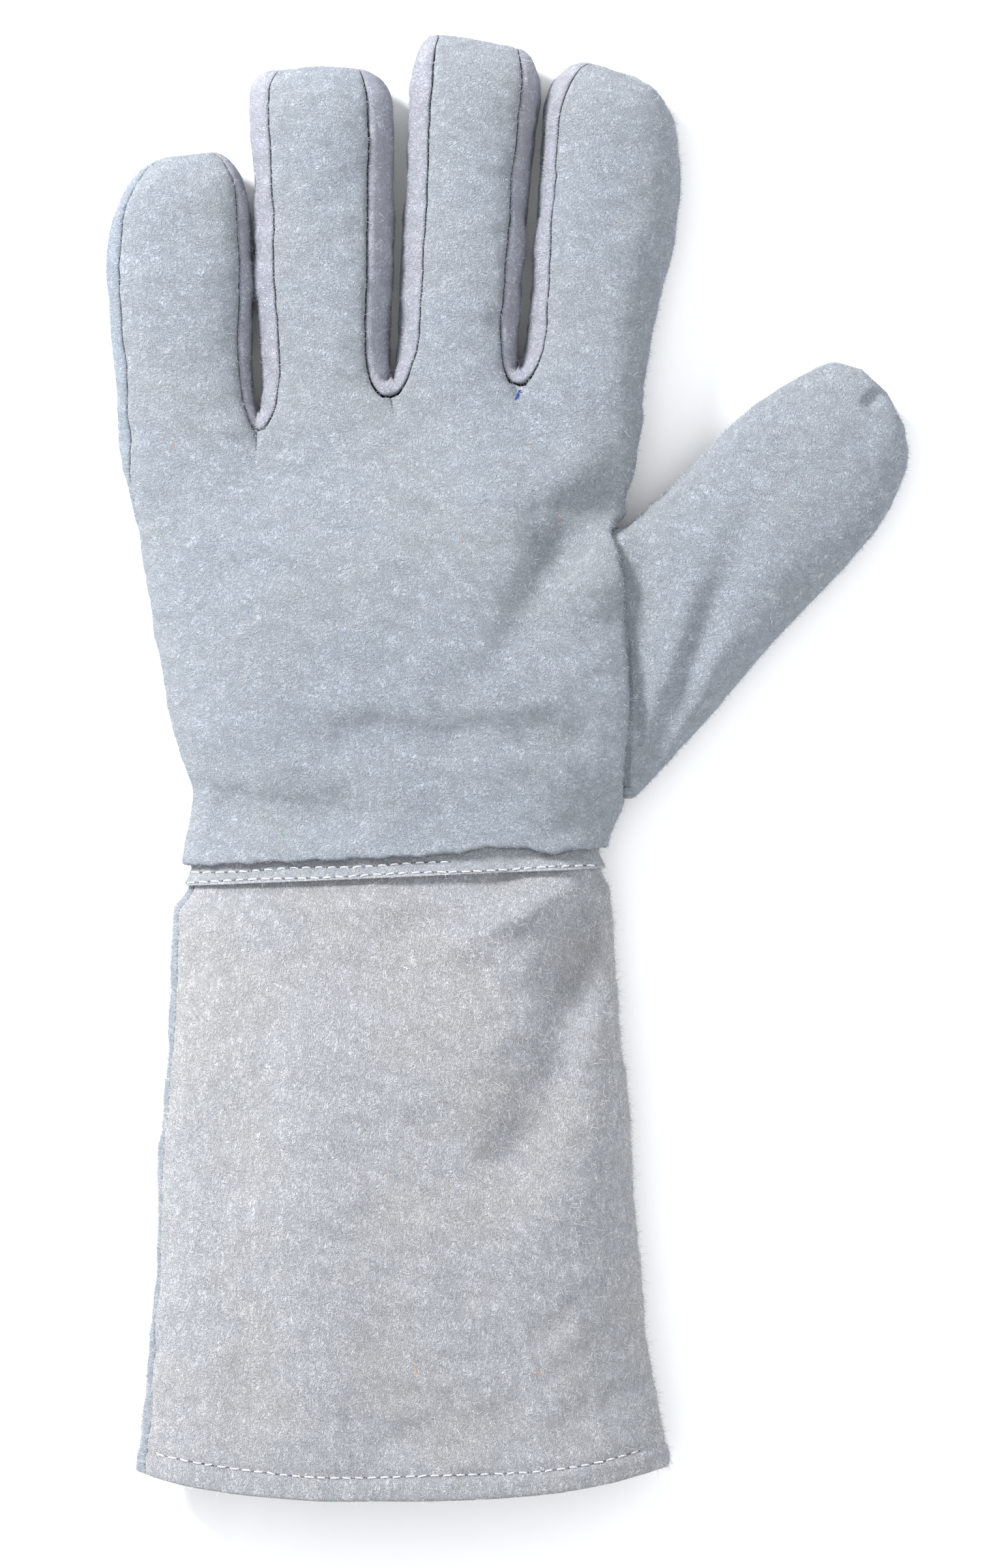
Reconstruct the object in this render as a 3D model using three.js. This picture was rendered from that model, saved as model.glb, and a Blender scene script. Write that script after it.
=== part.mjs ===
import * as THREE from "three";

// A welding gauntlet of split leather that lies on its back: +Z is up, +Y runs from the cuff's mouth to
// the fingertips, and the thumb points to +X. Its origin is under the middle of its box, on the surface it
// rests on. Each piece is a sheet of leather: a patch of an oval section that runs along the cuff, the
// palm, a finger or the thumb, thickened inwards. Sewn edges roll in a little, which makes the groove of
// the seam.

// Driving dimensions, in millimetres.
const leather = 1.4;
const bandLeather = 1.2;
const seamGap = 0.3; // between two pieces that are sewn edge to edge
const layerGap = 0.8; // between two pieces that lie one inside the other at the wrist
const seamLip = 0.9; // how far a sewn edge rolls in
const lipWidth = 1.8;

const cuffLength = 158;
const cuffMouthWidth = 124;
const cuffThickness = 44;
const cuffLift = 16; // height of the widest place of the cuff's mouth
const mouthBow = 6; // the mouth's edge bows out by this in its middle
const bowRound = 2.6; // how squarely it does so
const hemWidth = 6;
const hemLayers = 1.7; // the hem's thickness beside the leather's, as its two layers are pressed

const handOverlap = 5.3; // how far the hand reaches down over the band and the cuff's upper end
const wristY = cuffLength - handOverlap; // the hand's lower edge
const wristWidth = 102.6;
const wristThickness = 33;
const edgeSlant = 0.042; // rise of the hand's lower edge for each millimetre towards the thumb
const bandShown = 4.6; // of the band, below the hand's edge
const bandWidth = 11;
const tuckLength = 7; // over this length the cuff draws in under the band
const bandFlare = 2.6; // the band and the cuff spring out by this below the hand's edge

const palmRise = 113.2; // from the hand's lower edge to the highest root of a finger
const palmThickness = 34;
const palmLift = 12; // height of the widest place of the palm's section
const thumbReach = 63.8; // how far the palm's section runs out at the thumb

const knuckleShift = -2.4; // the row of the fingers' roots lies this far from the wrist's middle
// How far each end of a finger's root lies below the highest one, from the thumb's side, as a share of
// fingerLength.
const rootDrops = [0.055, 0, 0.0375, 0.141, 0.136];
const fingerWidth = 32;
const fingerLength = 80;
const fingerThickness = 25;
const fingerLift = 9.6;
const forkNotch = 17; // height of the rounded end of a seam between two fingers
const forkRise = 5.5; // of a fork's middle above that seam's end
const fingerGap = 0.8; // the least space between two fingers
const rearStrip = 3.6; // how far a rear seam lies in from a finger's side
const tipRound = 15; // the length over which a finger's thickness rounds off
const wrapTurn = -46; // how far the index finger's front wraps around its side and underneath, in degrees
const endRound = 2.2; // the roundness of a fingertip's corners, where 2 is an ellipse

// The fingers from the thumb's side to the outer side. root and tip are their widths, strip is how wide
// the side leather shows from the front, swell is how far a side bows out halfway, cornerWide is the
// rounding of the fingertip across the finger, and slant is how far its ends lie ahead: these are shares
// of fingerWidth. length and cornerLong are shares of fingerLength, thickness one of fingerThickness. lean
// is in degrees, towards the thumb's side.
const fingerTable = [
  {
    root: 0.931,
    tip: 1.063,
    length: 0.991,
    thickness: 1,
    lean: 6.4,
    slant: -0.05,
    right: { strip: 0, swell: 0.055, cornerLong: 0.287, cornerWide: 0.46 },
    left: { strip: 0.134, swell: -0.02, cornerLong: 0.212, cornerWide: 0.366 },
  },
  {
    root: 0.953,
    tip: 0.995,
    length: 1.061,
    thickness: 0.96,
    lean: 4.2,
    slant: -0.037,
    right: { strip: 0.131, swell: -0.03, cornerLong: 0.175, cornerWide: 0.24 },
    left: { strip: 0.15, swell: 0.006, cornerLong: 0.125, cornerWide: 0.16 },
  },
  {
    root: 0.997,
    tip: 1.09,
    length: 1.049,
    thickness: 0.96,
    lean: -0.8,
    slant: -0.006,
    right: { strip: 0.188, swell: 0.018, cornerLong: 0.15, cornerWide: 0.273 },
    left: { strip: 0.144, swell: -0.01, cornerLong: 0.113, cornerWide: 0.258 },
  },
  {
    root: 1.038,
    tip: 1.035,
    length: 0.84,
    thickness: 0.9,
    lean: -1.6,
    slant: 0.013,
    right: { strip: 0.087, swell: -0.02, cornerLong: 0.188, cornerWide: 0.334 },
    left: { strip: 0.069, swell: 0.069, cornerLong: 0.312, cornerWide: 0.49 },
  },
];
const sizedSide = (side) => ({
  strip: side.strip * fingerWidth,
  swell: side.swell * fingerWidth,
  cornerLong: side.cornerLong * fingerLength,
  cornerWide: side.cornerWide * fingerWidth,
});
const fingers = fingerTable.map((row) => ({
  root: row.root * fingerWidth,
  tip: row.tip * fingerWidth,
  length: row.length * fingerLength,
  thickness: row.thickness * fingerThickness,
  lean: row.lean,
  slant: row.slant * fingerWidth,
  right: sizedSide(row.right),
  left: sizedSide(row.left),
}));

// Outline of the cuff from its mouth, 0, to its upper end, 1, as shares of half the mouth's width and its
// thickness.
const cuffRows = [
  { at: 0, left: 0.972, right: 1.06, top: 0.93 },
  { at: 0.05, left: 0.97, right: 1.06, top: 0.95 },
  { at: 0.13, left: 0.945, right: 1.03, top: 0.97 },
  { at: 0.25, left: 0.925, right: 0.988, top: 0.99 },
  { at: 0.38, left: 0.912, right: 0.96, top: 1 },
  { at: 0.52, left: 0.891, right: 0.926, top: 0.98 },
  { at: 0.66, left: 0.868, right: 0.902, top: 0.93 },
  { at: 0.78, left: 0.855, right: 0.877, top: 0.86 },
  { at: 0.88, left: 0.845, right: 0.855, top: 0.8 },
  { at: 1, left: 0.825, right: 0.84, top: 0.75 },
];

// Outline of the palm from the hand's lower edge, 0, to the fingers' roots, 1, in tables whose columns are
// named. out is a share of half the wrist's width, or of thumbReach at the thumb. top is a share of the
// thickness there.
const palmLeft = [
  { at: 0, out: 0.978 },
  { at: 0.04, out: 0.967 },
  { at: 0.08, out: 0.945 },
  { at: 0.138, out: 0.926 },
  { at: 0.17, out: 0.945 },
  { at: 0.24, out: 0.995 },
  { at: 0.33, out: 1.04 },
  { at: 0.49, out: 1.111 },
  { at: 0.655, out: 1.168 },
  { at: 0.82, out: 1.23 },
  { at: 1.05, out: 1.3 },
];
const palmRight = [
  { at: 0, out: 1.013 },
  { at: 0.03, out: 1.015 },
  { at: 0.056, out: 1.03 },
  { at: 0.1, out: 1.075 },
];
const palmAtThumb = [
  { at: 0.135, out: 0.96 },
  { at: 0.19, out: 0.985 },
  { at: 0.3, out: 1 },
  { at: 0.5, out: 0.985 },
  { at: 0.64, out: 0.96 },
  { at: 0.705, out: 0.93 },
];
const palmAtIndex = [
  { at: 0.745, out: 1.08 },
  { at: 0.82, out: 1.12 },
  { at: 0.92, out: 1.155 },
  { at: 1.05, out: 1.2 },
];
const palmTop = [
  { at: 0, top: 0.95 },
  { at: 0.1, top: 0.93 },
  { at: 0.35, top: 0.99 },
  { at: 0.55, top: 1 },
  { at: 0.75, top: 0.95 },
  { at: 1, top: 0.84 },
];
// Where the panels end, as a turn in degrees: 0 is the widest place on the right, 90 the top, below 0
// underneath.
const frontRightEnd = [
  { at: 0, turn: -35 },
  { at: 0.1, turn: -28 },
  { at: 0.13, turn: 18 },
  { at: 0.19, turn: 27 },
  { at: 0.3, turn: 28 },
  { at: 0.69, turn: 28 },
  { at: 0.715, turn: 24 },
  { at: 0.75, turn: -36 },
  { at: 0.8, turn: -46 },
];
const rearRightEnd = [
  { at: 0, turn: -35 },
  { at: 0.1, turn: -35 },
  { at: 0.16, turn: -46 },
  { at: 0.8, turn: -46 },
];
const leftSeam = [
  { at: -0.05, turn: -10 },
  { at: 0.5, turn: -6 },
  { at: 0.75, turn: 4 },
  { at: 1, turn: 30 },
];

// The thumb's frame: where its root is, and its axis as an angle from +X. The tables' along is a share of
// its length and out a share of its width, for its upper and its lower outline. thick and low, its height
// above the surface it rests on, are shares of its thickness.
const thumbLength = 88;
const thumbWidth = 40;
const thumbThickness = 24;
const thumbAngle = 45;
const thumbX = 56;
const thumbY = 200;
const thumbLift = 11.5;
const thumbRows = [
  { upAlong: 0.205, upOut: 0.7, lowAlong: -0.3, lowOut: -0.47, thick: 0.78, low: 0.167 },
  { upAlong: 0.266, upOut: 0.56, lowAlong: -0.235, lowOut: -0.625, thick: 0.78, low: 0.108 },
  { upAlong: 0.346, upOut: 0.538, lowAlong: -0.079, lowOut: -0.615, thick: 0.95, low: 0.079 },
  { upAlong: 0.446, upOut: 0.524, lowAlong: 0.091, lowOut: -0.585, thick: 1, low: 0 },
  { upAlong: 0.548, upOut: 0.527, lowAlong: 0.258, lowOut: -0.552, thick: 1, low: 0 },
  { upAlong: 0.653, upOut: 0.538, lowAlong: 0.422, lowOut: -0.547, thick: 1, low: 0 },
  { upAlong: 0.747, upOut: 0.522, lowAlong: 0.565, lowOut: -0.541, thick: 0.98, low: 0 },
  { upAlong: 0.835, upOut: 0.494, lowAlong: 0.699, lowOut: -0.514, thick: 0.93, low: 0.025 },
  { upAlong: 0.909, upOut: 0.447, lowAlong: 0.821, lowOut: -0.45, thick: 0.83, low: 0.083 },
  { upAlong: 0.975, upOut: 0.38, lowAlong: 0.925, lowOut: -0.36, thick: 0.7, low: 0.175 },
  { upAlong: 1.016, upOut: 0.23, lowAlong: 0.99, lowOut: -0.21, thick: 0.55, low: 0.292 },
];

// Dents, below 0, and ridges, above 0, of the front, from one point to another. across is a share of half
// the wrist's width from its middle, up a share of the palm's rise above the hand's edge, wide and deep
// are shares of foldSize.
const foldSize = 10;
const foldReach = 0.6; // the share of a section's upper half over which the folds fade out
const palmFolds = [
  { across: 1.07, up: 0.8, toAcross: 0.76, toUp: 0.66, wide: 0.6, deep: -0.4 },
  { across: 0.76, up: 0.66, toAcross: 0.6, toUp: 0.47, wide: 0.7, deep: -0.24 },
  { across: -0.2, up: 0.24, toAcross: 0.85, toUp: 0.25, wide: 0.5, deep: -0.14 },
  { across: -0.75, up: 0.1, toAcross: -0.2, toUp: 0.09, wide: 0.5, deep: -0.14 },
  { across: -1.05, up: 0.76, toAcross: -0.75, toUp: 0.62, wide: 0.7, deep: -0.1 },
  { across: 0.87, up: 0.59, toAcross: 0.96, toUp: 0.55, wide: 0.5, deep: 0.1 },
];
// The same for the cuff, with up as a share of the cuff's length above its mouth.
const cuffFolds = [
  { across: 0.1, up: 0.86, toAcross: 0.55, toUp: 0.92, wide: 0.6, deep: -0.24 },
  { across: 0.36, up: 0.85, toAcross: 0.86, toUp: 0.93, wide: 0.5, deep: 0.18 },
  { across: 0.98, up: 0.92, toAcross: 0.84, toUp: 0.78, wide: 0.7, deep: -0.36 },
  { across: 0.84, up: 0.78, toAcross: 0.6, toUp: 0.52, wide: 1, deep: -0.34 },
  { across: 1.22, up: 0.13, toAcross: 1.02, toUp: 0.1, wide: 0.5, deep: -0.16 },
  { across: -0.2, up: 0.68, toAcross: -0.35, toUp: 0.15, wide: 1.6, deep: 0.2 },
];

const thumbTip = { along: 1.028, out: 0.02 };
// The crease at the thumb's root, with its places as in the thumb's table.
const thumbFolds = [
  { along: 0.418, out: 0, toAlong: 0.269, toOut: -0.157, wide: 0.45, deep: -0.12 },
  { along: 0.269, out: -0.157, toAlong: 0.021, toOut: -0.389, wide: 0.42, deep: -0.28 },
  { along: 0.021, out: -0.389, toAlong: -0.117, toOut: -0.521, wide: 0.4, deep: -0.22 },
];

const topRound = 2.4; // 2 is an ellipse, and more is squarer
const underRound = 3.4;
const floorPress = 1.2; // the leather lies flat where its section would reach this far below the floor

const colours = { hand: 0xb9c2cd, rear: 0xb2bbc8, fork: 0xb4b7c4, thumb: 0xb7c0cd, band: 0xbfc4cd, cuff: 0xc8cacd };

const { lerp, clamp, degToRad, radToDeg, smoothstep } = THREE.MathUtils;

// One named column of a table, read smoothly between its rows.
function column(rows, key, at) {
  const last = rows.length - 1;
  if (at <= rows[0].at) return rows[0][key];
  if (at >= rows[last].at) return rows[last][key];
  const i = rows.findIndex((row) => row.at > at) - 1;
  const slope = (k) => (rows[k + 1][key] - rows[k][key]) / (rows[k + 1].at - rows[k].at);
  const tangent = (k) => {
    if (k === 0 || k === last) return slope(Math.min(k, last - 1));
    const before = slope(k - 1);
    const after = slope(k);
    return before * after <= 0 ? 0 : (2 * before * after) / (before + after);
  };
  const width = rows[i + 1].at - rows[i].at;
  const t = (at - rows[i].at) / width;
  const [a, b] = [rows[i][key], rows[i + 1][key]];
  const bend = tangent(i) * (1 - t) ** 2 * t - tangent(i + 1) * t * t * (1 - t);
  return lerp(a, b, t * t * (3 - 2 * t)) + width * bend;
}

// A point of an oval section at a turn in degrees, and the direction straight out of the section there. Its
// underside is pressed flat on its floor.
function oval(section, turn) {
  const c = Math.cos(degToRad(turn));
  const s = Math.sin(degToRad(turn));
  const round = s >= 0 ? topRound : underRound;
  const reach = c >= 0 ? section.right : section.left;
  const rise = s >= 0 ? section.top - section.lift : section.lift - section.floor + floorPress;
  const across = Math.sign(c) * reach * Math.abs(c) ** (2 / round);
  const z = section.lift + Math.sign(s) * rise * Math.abs(s) ** (2 / round);
  const outX = (Math.sign(c) * Math.abs(c) ** (2 - 2 / round)) / reach;
  const outZ = (Math.sign(s) * Math.abs(s) ** (2 - 2 / round)) / rise;
  const size = Math.hypot(outX, outZ) || 1;
  return { across, z: Math.max(section.floor, z), outX: outX / size, outZ: outZ / size };
}

// The turn that lies a length further along a section's outline.
function turnAfter(section, turn, length) {
  const step = Math.sign(length) * 0.5;
  let left = Math.abs(length);
  let here = oval(section, turn);
  for (let next = turn; ; next += step) {
    const there = oval(section, next + step);
    const size = Math.hypot(there.across - here.across, there.z - here.z);
    if (size >= left) return next + (step * left) / size;
    left -= size;
    here = there;
  }
}

// The turn at which a section has come in from its side by a strip.
function stripTurn(reach, strip, round) {
  return radToDeg(Math.acos(clamp(1 - strip / reach, 0, 1) ** (round / 2)));
}

// 1 until an end's zone begins, then down to 0 at the end in a round curve.
function roundOff(toEnd, zone) {
  const t = clamp(1 - toEnd / zone, 0, 1);
  return Math.max(0, 1 - t ** endRound) ** (1 / endRound);
}

const halfWrist = wristWidth / 2;
const laidFolds = (folds, base, rise) =>
  folds.map((fold) => ({
    ...fold,
    from: new THREE.Vector2(fold.across * halfWrist, base + fold.up * rise),
    to: new THREE.Vector2(fold.toAcross * halfWrist, base + fold.toUp * rise),
  }));
const frontFolds = [...laidFolds(palmFolds, wristY, palmRise), ...laidFolds(cuffFolds, 0, cuffLength)];

// How far the folds raise a section's upper half at a point. They fade out towards its sides.
function foldHeight(x, y, z, section, folds = frontFolds) {
  const height = folds.reduce((total, fold) => {
    const along = fold.to.clone().sub(fold.from);
    const place = new THREE.Vector2(x, y).sub(fold.from);
    const t = clamp(place.dot(along) / along.lengthSq(), 0, 1);
    const off = place.sub(along.multiplyScalar(t)).length();
    return total + fold.deep * foldSize * Math.exp(-((off / (fold.wide * foldSize)) ** 2));
  }, 0);
  return height * smoothstep(z, section.lift, lerp(section.lift, section.top, foldReach));
}

const share = (rows, size) => rows.map((row) => ({ at: row.at, out: row.out * size }));
const rightRows = [
  ...share(palmRight, halfWrist),
  ...share(palmAtThumb, thumbReach),
  ...share(palmAtIndex, halfWrist),
];

function handSection(y) {
  const at = (y - wristY) / palmRise;
  return {
    left: column(palmLeft, "out", at) * halfWrist,
    right: column(rightRows, "out", at),
    top: lerp(wristThickness, palmThickness, smoothstep(at, 0, 0.3)) * column(palmTop, "top", at),
    lift: palmLift,
    floor: 0,
  };
}

function inset(section, depth, flare) {
  const { left, right, top, lift, floor } = section;
  const draw = depth - flare;
  return { left: left - draw, right: right - draw, top: top - draw, lift, floor: floor + depth };
}

// How much less the band and the cuff draw in where they show below the hand's edge.
function flareAt(flatY) {
  return bandFlare * smoothstep(wristY - flatY, seamGap, bandShown);
}

function bandSection(y, flatY) {
  return inset(handSection(y), leather + layerGap, flareAt(flatY));
}

// The cuff's own section, which draws in under the band. flatY is the height before the edges' slant.
function cuffSection(y, flatY) {
  const at = y / cuffLength;
  const own = {
    left: (column(cuffRows, "left", at) * cuffMouthWidth) / 2,
    right: (column(cuffRows, "right", at) * cuffMouthWidth) / 2,
    top: column(cuffRows, "top", at) * cuffThickness,
    lift: lerp(cuffLift, palmLift, smoothstep(at, 0, 1)),
    floor: 0,
  };
  const tucked = inset(handSection(y), leather + bandLeather + 2 * layerGap, flareAt(flatY));
  const foot = wristY - bandShown;
  const tuck = smoothstep(flatY, foot - tuckLength, foot - seamGap);
  return Object.fromEntries(Object.keys(own).map((key) => [key, lerp(own[key], tucked[key], tuck)]));
}

// A piece's outer surface while it is built. Every point may carry the direction straight out of the
// leather.
class Sheet {
  points = [];
  outs = [];
  faces = [];
  add(point, out = null) {
    this.points.push(point);
    this.outs.push(out);
    return this.points.length - 1;
  }
  // Rows of points' numbers, towards the fingertips, with columns in the order of their turns.
  grid(rows, closed = false) {
    for (let r = 0; r + 1 < rows.length; r++) {
      const count = rows[r].length;
      for (let c = 0; c < count - (closed ? 0 : 1); c++) {
        const next = (c + 1) % count;
        this.faces.push([rows[r][c], rows[r + 1][c], rows[r + 1][next], rows[r][next]]);
      }
    }
  }
  fan(row, pole) {
    row.forEach((point, c) => this.faces.push([point, pole, row[(c + 1) % row.length]]));
  }
  // The closed solid between this surface and its copy a wall further in.
  solid(wall) {
    const count = this.points.length;
    const normals = this.points.map(() => new THREE.Vector3());
    for (const face of this.faces) {
      const [a, b, c] = face.map((i) => this.points[i]);
      const d = this.points[face[face.length - 1]];
      const normal = c.clone().sub(a).cross(face.length > 3 ? d.clone().sub(b) : a.clone().sub(b));
      face.forEach((i) => normals[i].add(normal));
    }
    const inner = this.points.map((point, i) => {
      const out = (this.outs[i] ?? normals[i]).clone().normalize();
      return point.clone().addScaledVector(out, -wall(point));
    });
    const triangles = [];
    const put = (ring) => {
      triangles.push(ring[0], ring[1], ring[2]);
      if (ring.length > 3) triangles.push(ring[0], ring[2], ring[3]);
    };
    const rim = new Map();
    for (const face of this.faces) {
      put(face);
      put(face.map((i) => i + count).reverse());
      face.forEach((from, k) => {
        const to = face[(k + 1) % face.length];
        if (!rim.delete(`${to},${from}`)) rim.set(`${from},${to}`, [from, to]);
      });
    }
    for (const [from, to] of rim.values()) put([to, from, from + count, to + count]);
    const geometry = new THREE.BufferGeometry();
    const all = [...this.points, ...inner].flatMap((point) => point.toArray());
    geometry.setAttribute("position", new THREE.Float32BufferAttribute(all, 3));
    geometry.setIndex(triangles);
    geometry.computeVertexNormals();
    return geometry;
  }
}

const evenWall = () => leather;

// The turns of a patch's columns from one end to the other, each end half a seam's gap in and rolled in.
function patchTurns(section, from, to, between) {
  const start = turnAfter(section, from, seamGap / 2);
  const end = turnAfter(section, to, -seamGap / 2);
  const inStart = turnAfter(section, from, lipWidth);
  const inEnd = turnAfter(section, to, -lipWidth);
  return [start, inStart, ...between.map((part) => lerp(inStart, inEnd, part)), inEnd, end];
}

// The ends of the fingers' roots, from the thumb's side.
const rootLine = rootDrops.map((drop, i) => {
  const whole = fingers.reduce((sum, finger) => sum + finger.root, 0);
  const before = fingers.slice(0, i).reduce((sum, finger) => sum + finger.root, 0);
  return new THREE.Vector3(knuckleShift + whole / 2 - before, wristY + palmRise - drop * fingerLength, 0);
});

// A finger's section and seams at a distance along it. place puts a point of the section into the glove's
// frame.
function fingerRow(index, distance) {
  const finger = fingers[index];
  const toEnd = finger.length - distance;
  const way = distance / finger.length;
  const half = lerp(finger.root - fingerGap, finger.tip, smoothstep(way, 0, 0.85)) / 2;
  const halfRoot = finger.root / 2;
  const notch = Math.sqrt(1 - clamp(1 - distance / forkNotch, 0, 1) ** 2);
  const bow = Math.sin(Math.PI * clamp(way, 0, 1));
  const reach = (side) => half + side.swell * bow - side.cornerWide * (1 - roundOff(toEnd, side.cornerLong));
  const section = {
    left: reach(finger.left),
    right: reach(finger.right),
    lift: fingerLift,
    top: fingerLift + (finger.thickness - fingerLift) * Math.max(0.01, roundOff(toEnd, tipRound)),
    floor: fingerLift - fingerLift * Math.max(0.01, roundOff(toEnd, tipRound * 0.6)),
  };
  const [right, left] = [rootLine[index], rootLine[index + 1]];
  const middle = right.clone().add(left).multiplyScalar(0.5);
  const axis = new THREE.Vector3(Math.sin(degToRad(finger.lean)), Math.cos(degToRad(finger.lean)), 0);
  const cross = new THREE.Vector3(axis.y, -axis.x, 0);
  const side = right.clone().sub(left).multiplyScalar(0.5 / halfRoot);
  side.lerp(cross.clone().addScaledVector(axis, finger.slant / halfRoot), smoothstep(way, 0, 0.5));
  const place = (across, z) => {
    const point = middle.clone().addScaledVector(side, across).addScaledVector(axis, distance);
    point.z = z;
    return point;
  };
  // The strips at a finger's side narrow towards the tip.
  const turns = (part) => {
    const shrink = roundOff(toEnd, part.cornerLong) ** stripFade;
    return {
      front: stripTurn(section.right, part.strip * shrink, topRound),
      rear: stripTurn(section.right, rearStrip * shrink, underRound),
    };
  };
  const wrap = wrapTurn * roundOff(toEnd, finger.right.cornerLong) ** endRound;
  const rightTurns = turns(finger.right);
  const leftTurns = turns(finger.left);
  const outerLeft = index === fingers.length - 1;
  return {
    section, place, notch, halfRoot, axis, cross, toEnd,
    frontRight: index === 0 ? wrap : rightTurns.front,
    rearRight: index === 0 ? wrap : -rightTurns.rear,
    frontLeft: 180 - leftTurns.front,
    rearLeft: outerLeft ? -180 - leftTurns.front : leftTurns.rear - 180,
    openRight: index > 0,
    openLeft: !outerLeft,
  };
}

const forkLean = 0.44; // how far a panel faces towards the fingertips at a fork's end, beside 1 up

// A point of a finger at a turn. Near the root, an edge that leads to a fork swings out to the fork's end.
function fingerPoint(row, turn, part, rear = false) {
  const { section, place, notch, halfRoot, cross } = row;
  const here = oval(section, turn);
  let { across } = here;
  const out = cross.clone().multiplyScalar(here.outX);
  out.z = here.outZ;
  const open = part > 0 ? row.openRight : row.openLeft;
  if (open && part !== 0) {
    const swing = (1 - notch) * Math.abs(part);
    across = lerp(across, Math.sign(part) * halfRoot, swing);
    const forkOut = new THREE.Vector3(0, forkLean, rear ? -1 : 1);
    if (Math.abs(part) === 1) out.lerp(forkOut, 1 - notch).normalize();
  }
  const point = place(across, here.z);
  point.z += foldHeight(point.x, point.y, here.z, section);
  return { point, out };
}

const forkShort = 1.2; // the forks end this much before the last row of a fingertip
const endStep = 1.8; // the least turn between columns beside a panel's end
const stripFade = 0.8;
const edgePull = 1.5; // the middle columns follow a finger's edges less the higher this is
const edgeSpread = 0.6; // how far the leather of a fingertip's last row faces sideways at its corners
const palmUps = [0, 0.045, 0.085, 0.105, 0.13, 0.16, 0.22, 0.3, 0.4, 0.5, 0.6, 0.68, 0.72, 0.75, 0.785, 0.84, 0.92];
const frontParts = [0.25, 0.5, 0.75];
const rearParts = [0.33, 0.67];
const rootAngles = [0, 25, 50, 72, 90];
const middleParts = [0.25, 0.5, 0.75];
const tipAngles = [0, 22, 42, 60, 76, 90];

// From the fingers' roots down the palm, as shares of its rise: where the columns reach their even places,
// where the width and the height are the palm's own, and above the hand's lower edge where a seam's lip
// begins and is full.
const evenSpread = 0.7;
const spreadEnd = 0.6;
const widthBlend = 0.16;
const heightBlend = 0.3;
const lipStart = 0.02;
const lipFull = 0.15;
const wrapColumns = 3; // of the front panel, that may wrap around the index finger's side
const wrapEnd = 20; // up to this turn

function fingerDistances(finger) {
  const zone = Math.max(finger.left.cornerLong, finger.right.cornerLong, tipRound);
  return [
    ...rootAngles.map((angle) => forkNotch * (1 - Math.cos(degToRad(angle)))),
    ...middleParts.map((part) => lerp(forkNotch, finger.length - zone, part)),
    ...tipAngles.map((angle) => finger.length - zone * (1 - Math.sin(degToRad(angle)))),
  ];
}

// A finger's part of the front or the rear panel: a row of points with the directions out of the leather.
function panelRow(index, distance, rear) {
  const row = fingerRow(index, distance);
  const turns = rear
    ? patchTurns(row.section, row.rearLeft, row.rearRight, rearParts)
    : patchTurns(row.section, row.frontRight, row.frontLeft, frontParts);
  const last = turns.length - 1;
  return turns.map((turn, c) => {
    const away = rear ? (2 * c) / last - 1 : 1 - (2 * c) / last;
    const part = Math.sign(away) * Math.abs(away) ** edgePull;
    const { point, out } = fingerPoint(row, turn, part, rear);
    const edge = c === 0 || c === last || row.toEnd < 0.01;
    if (row.toEnd < 0.01) {
      out.copy(row.axis).addScaledVector(row.cross, edgeSpread * part).normalize();
      point.z += rear ? -seamGap / 2 : seamGap / 2;
      point.addScaledVector(out, -seamLip / 2);
    } else if (edge) {
      point.addScaledVector(out, -seamLip);
    }
    return { point, out: edge ? out : null, turn };
  });
}

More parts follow.
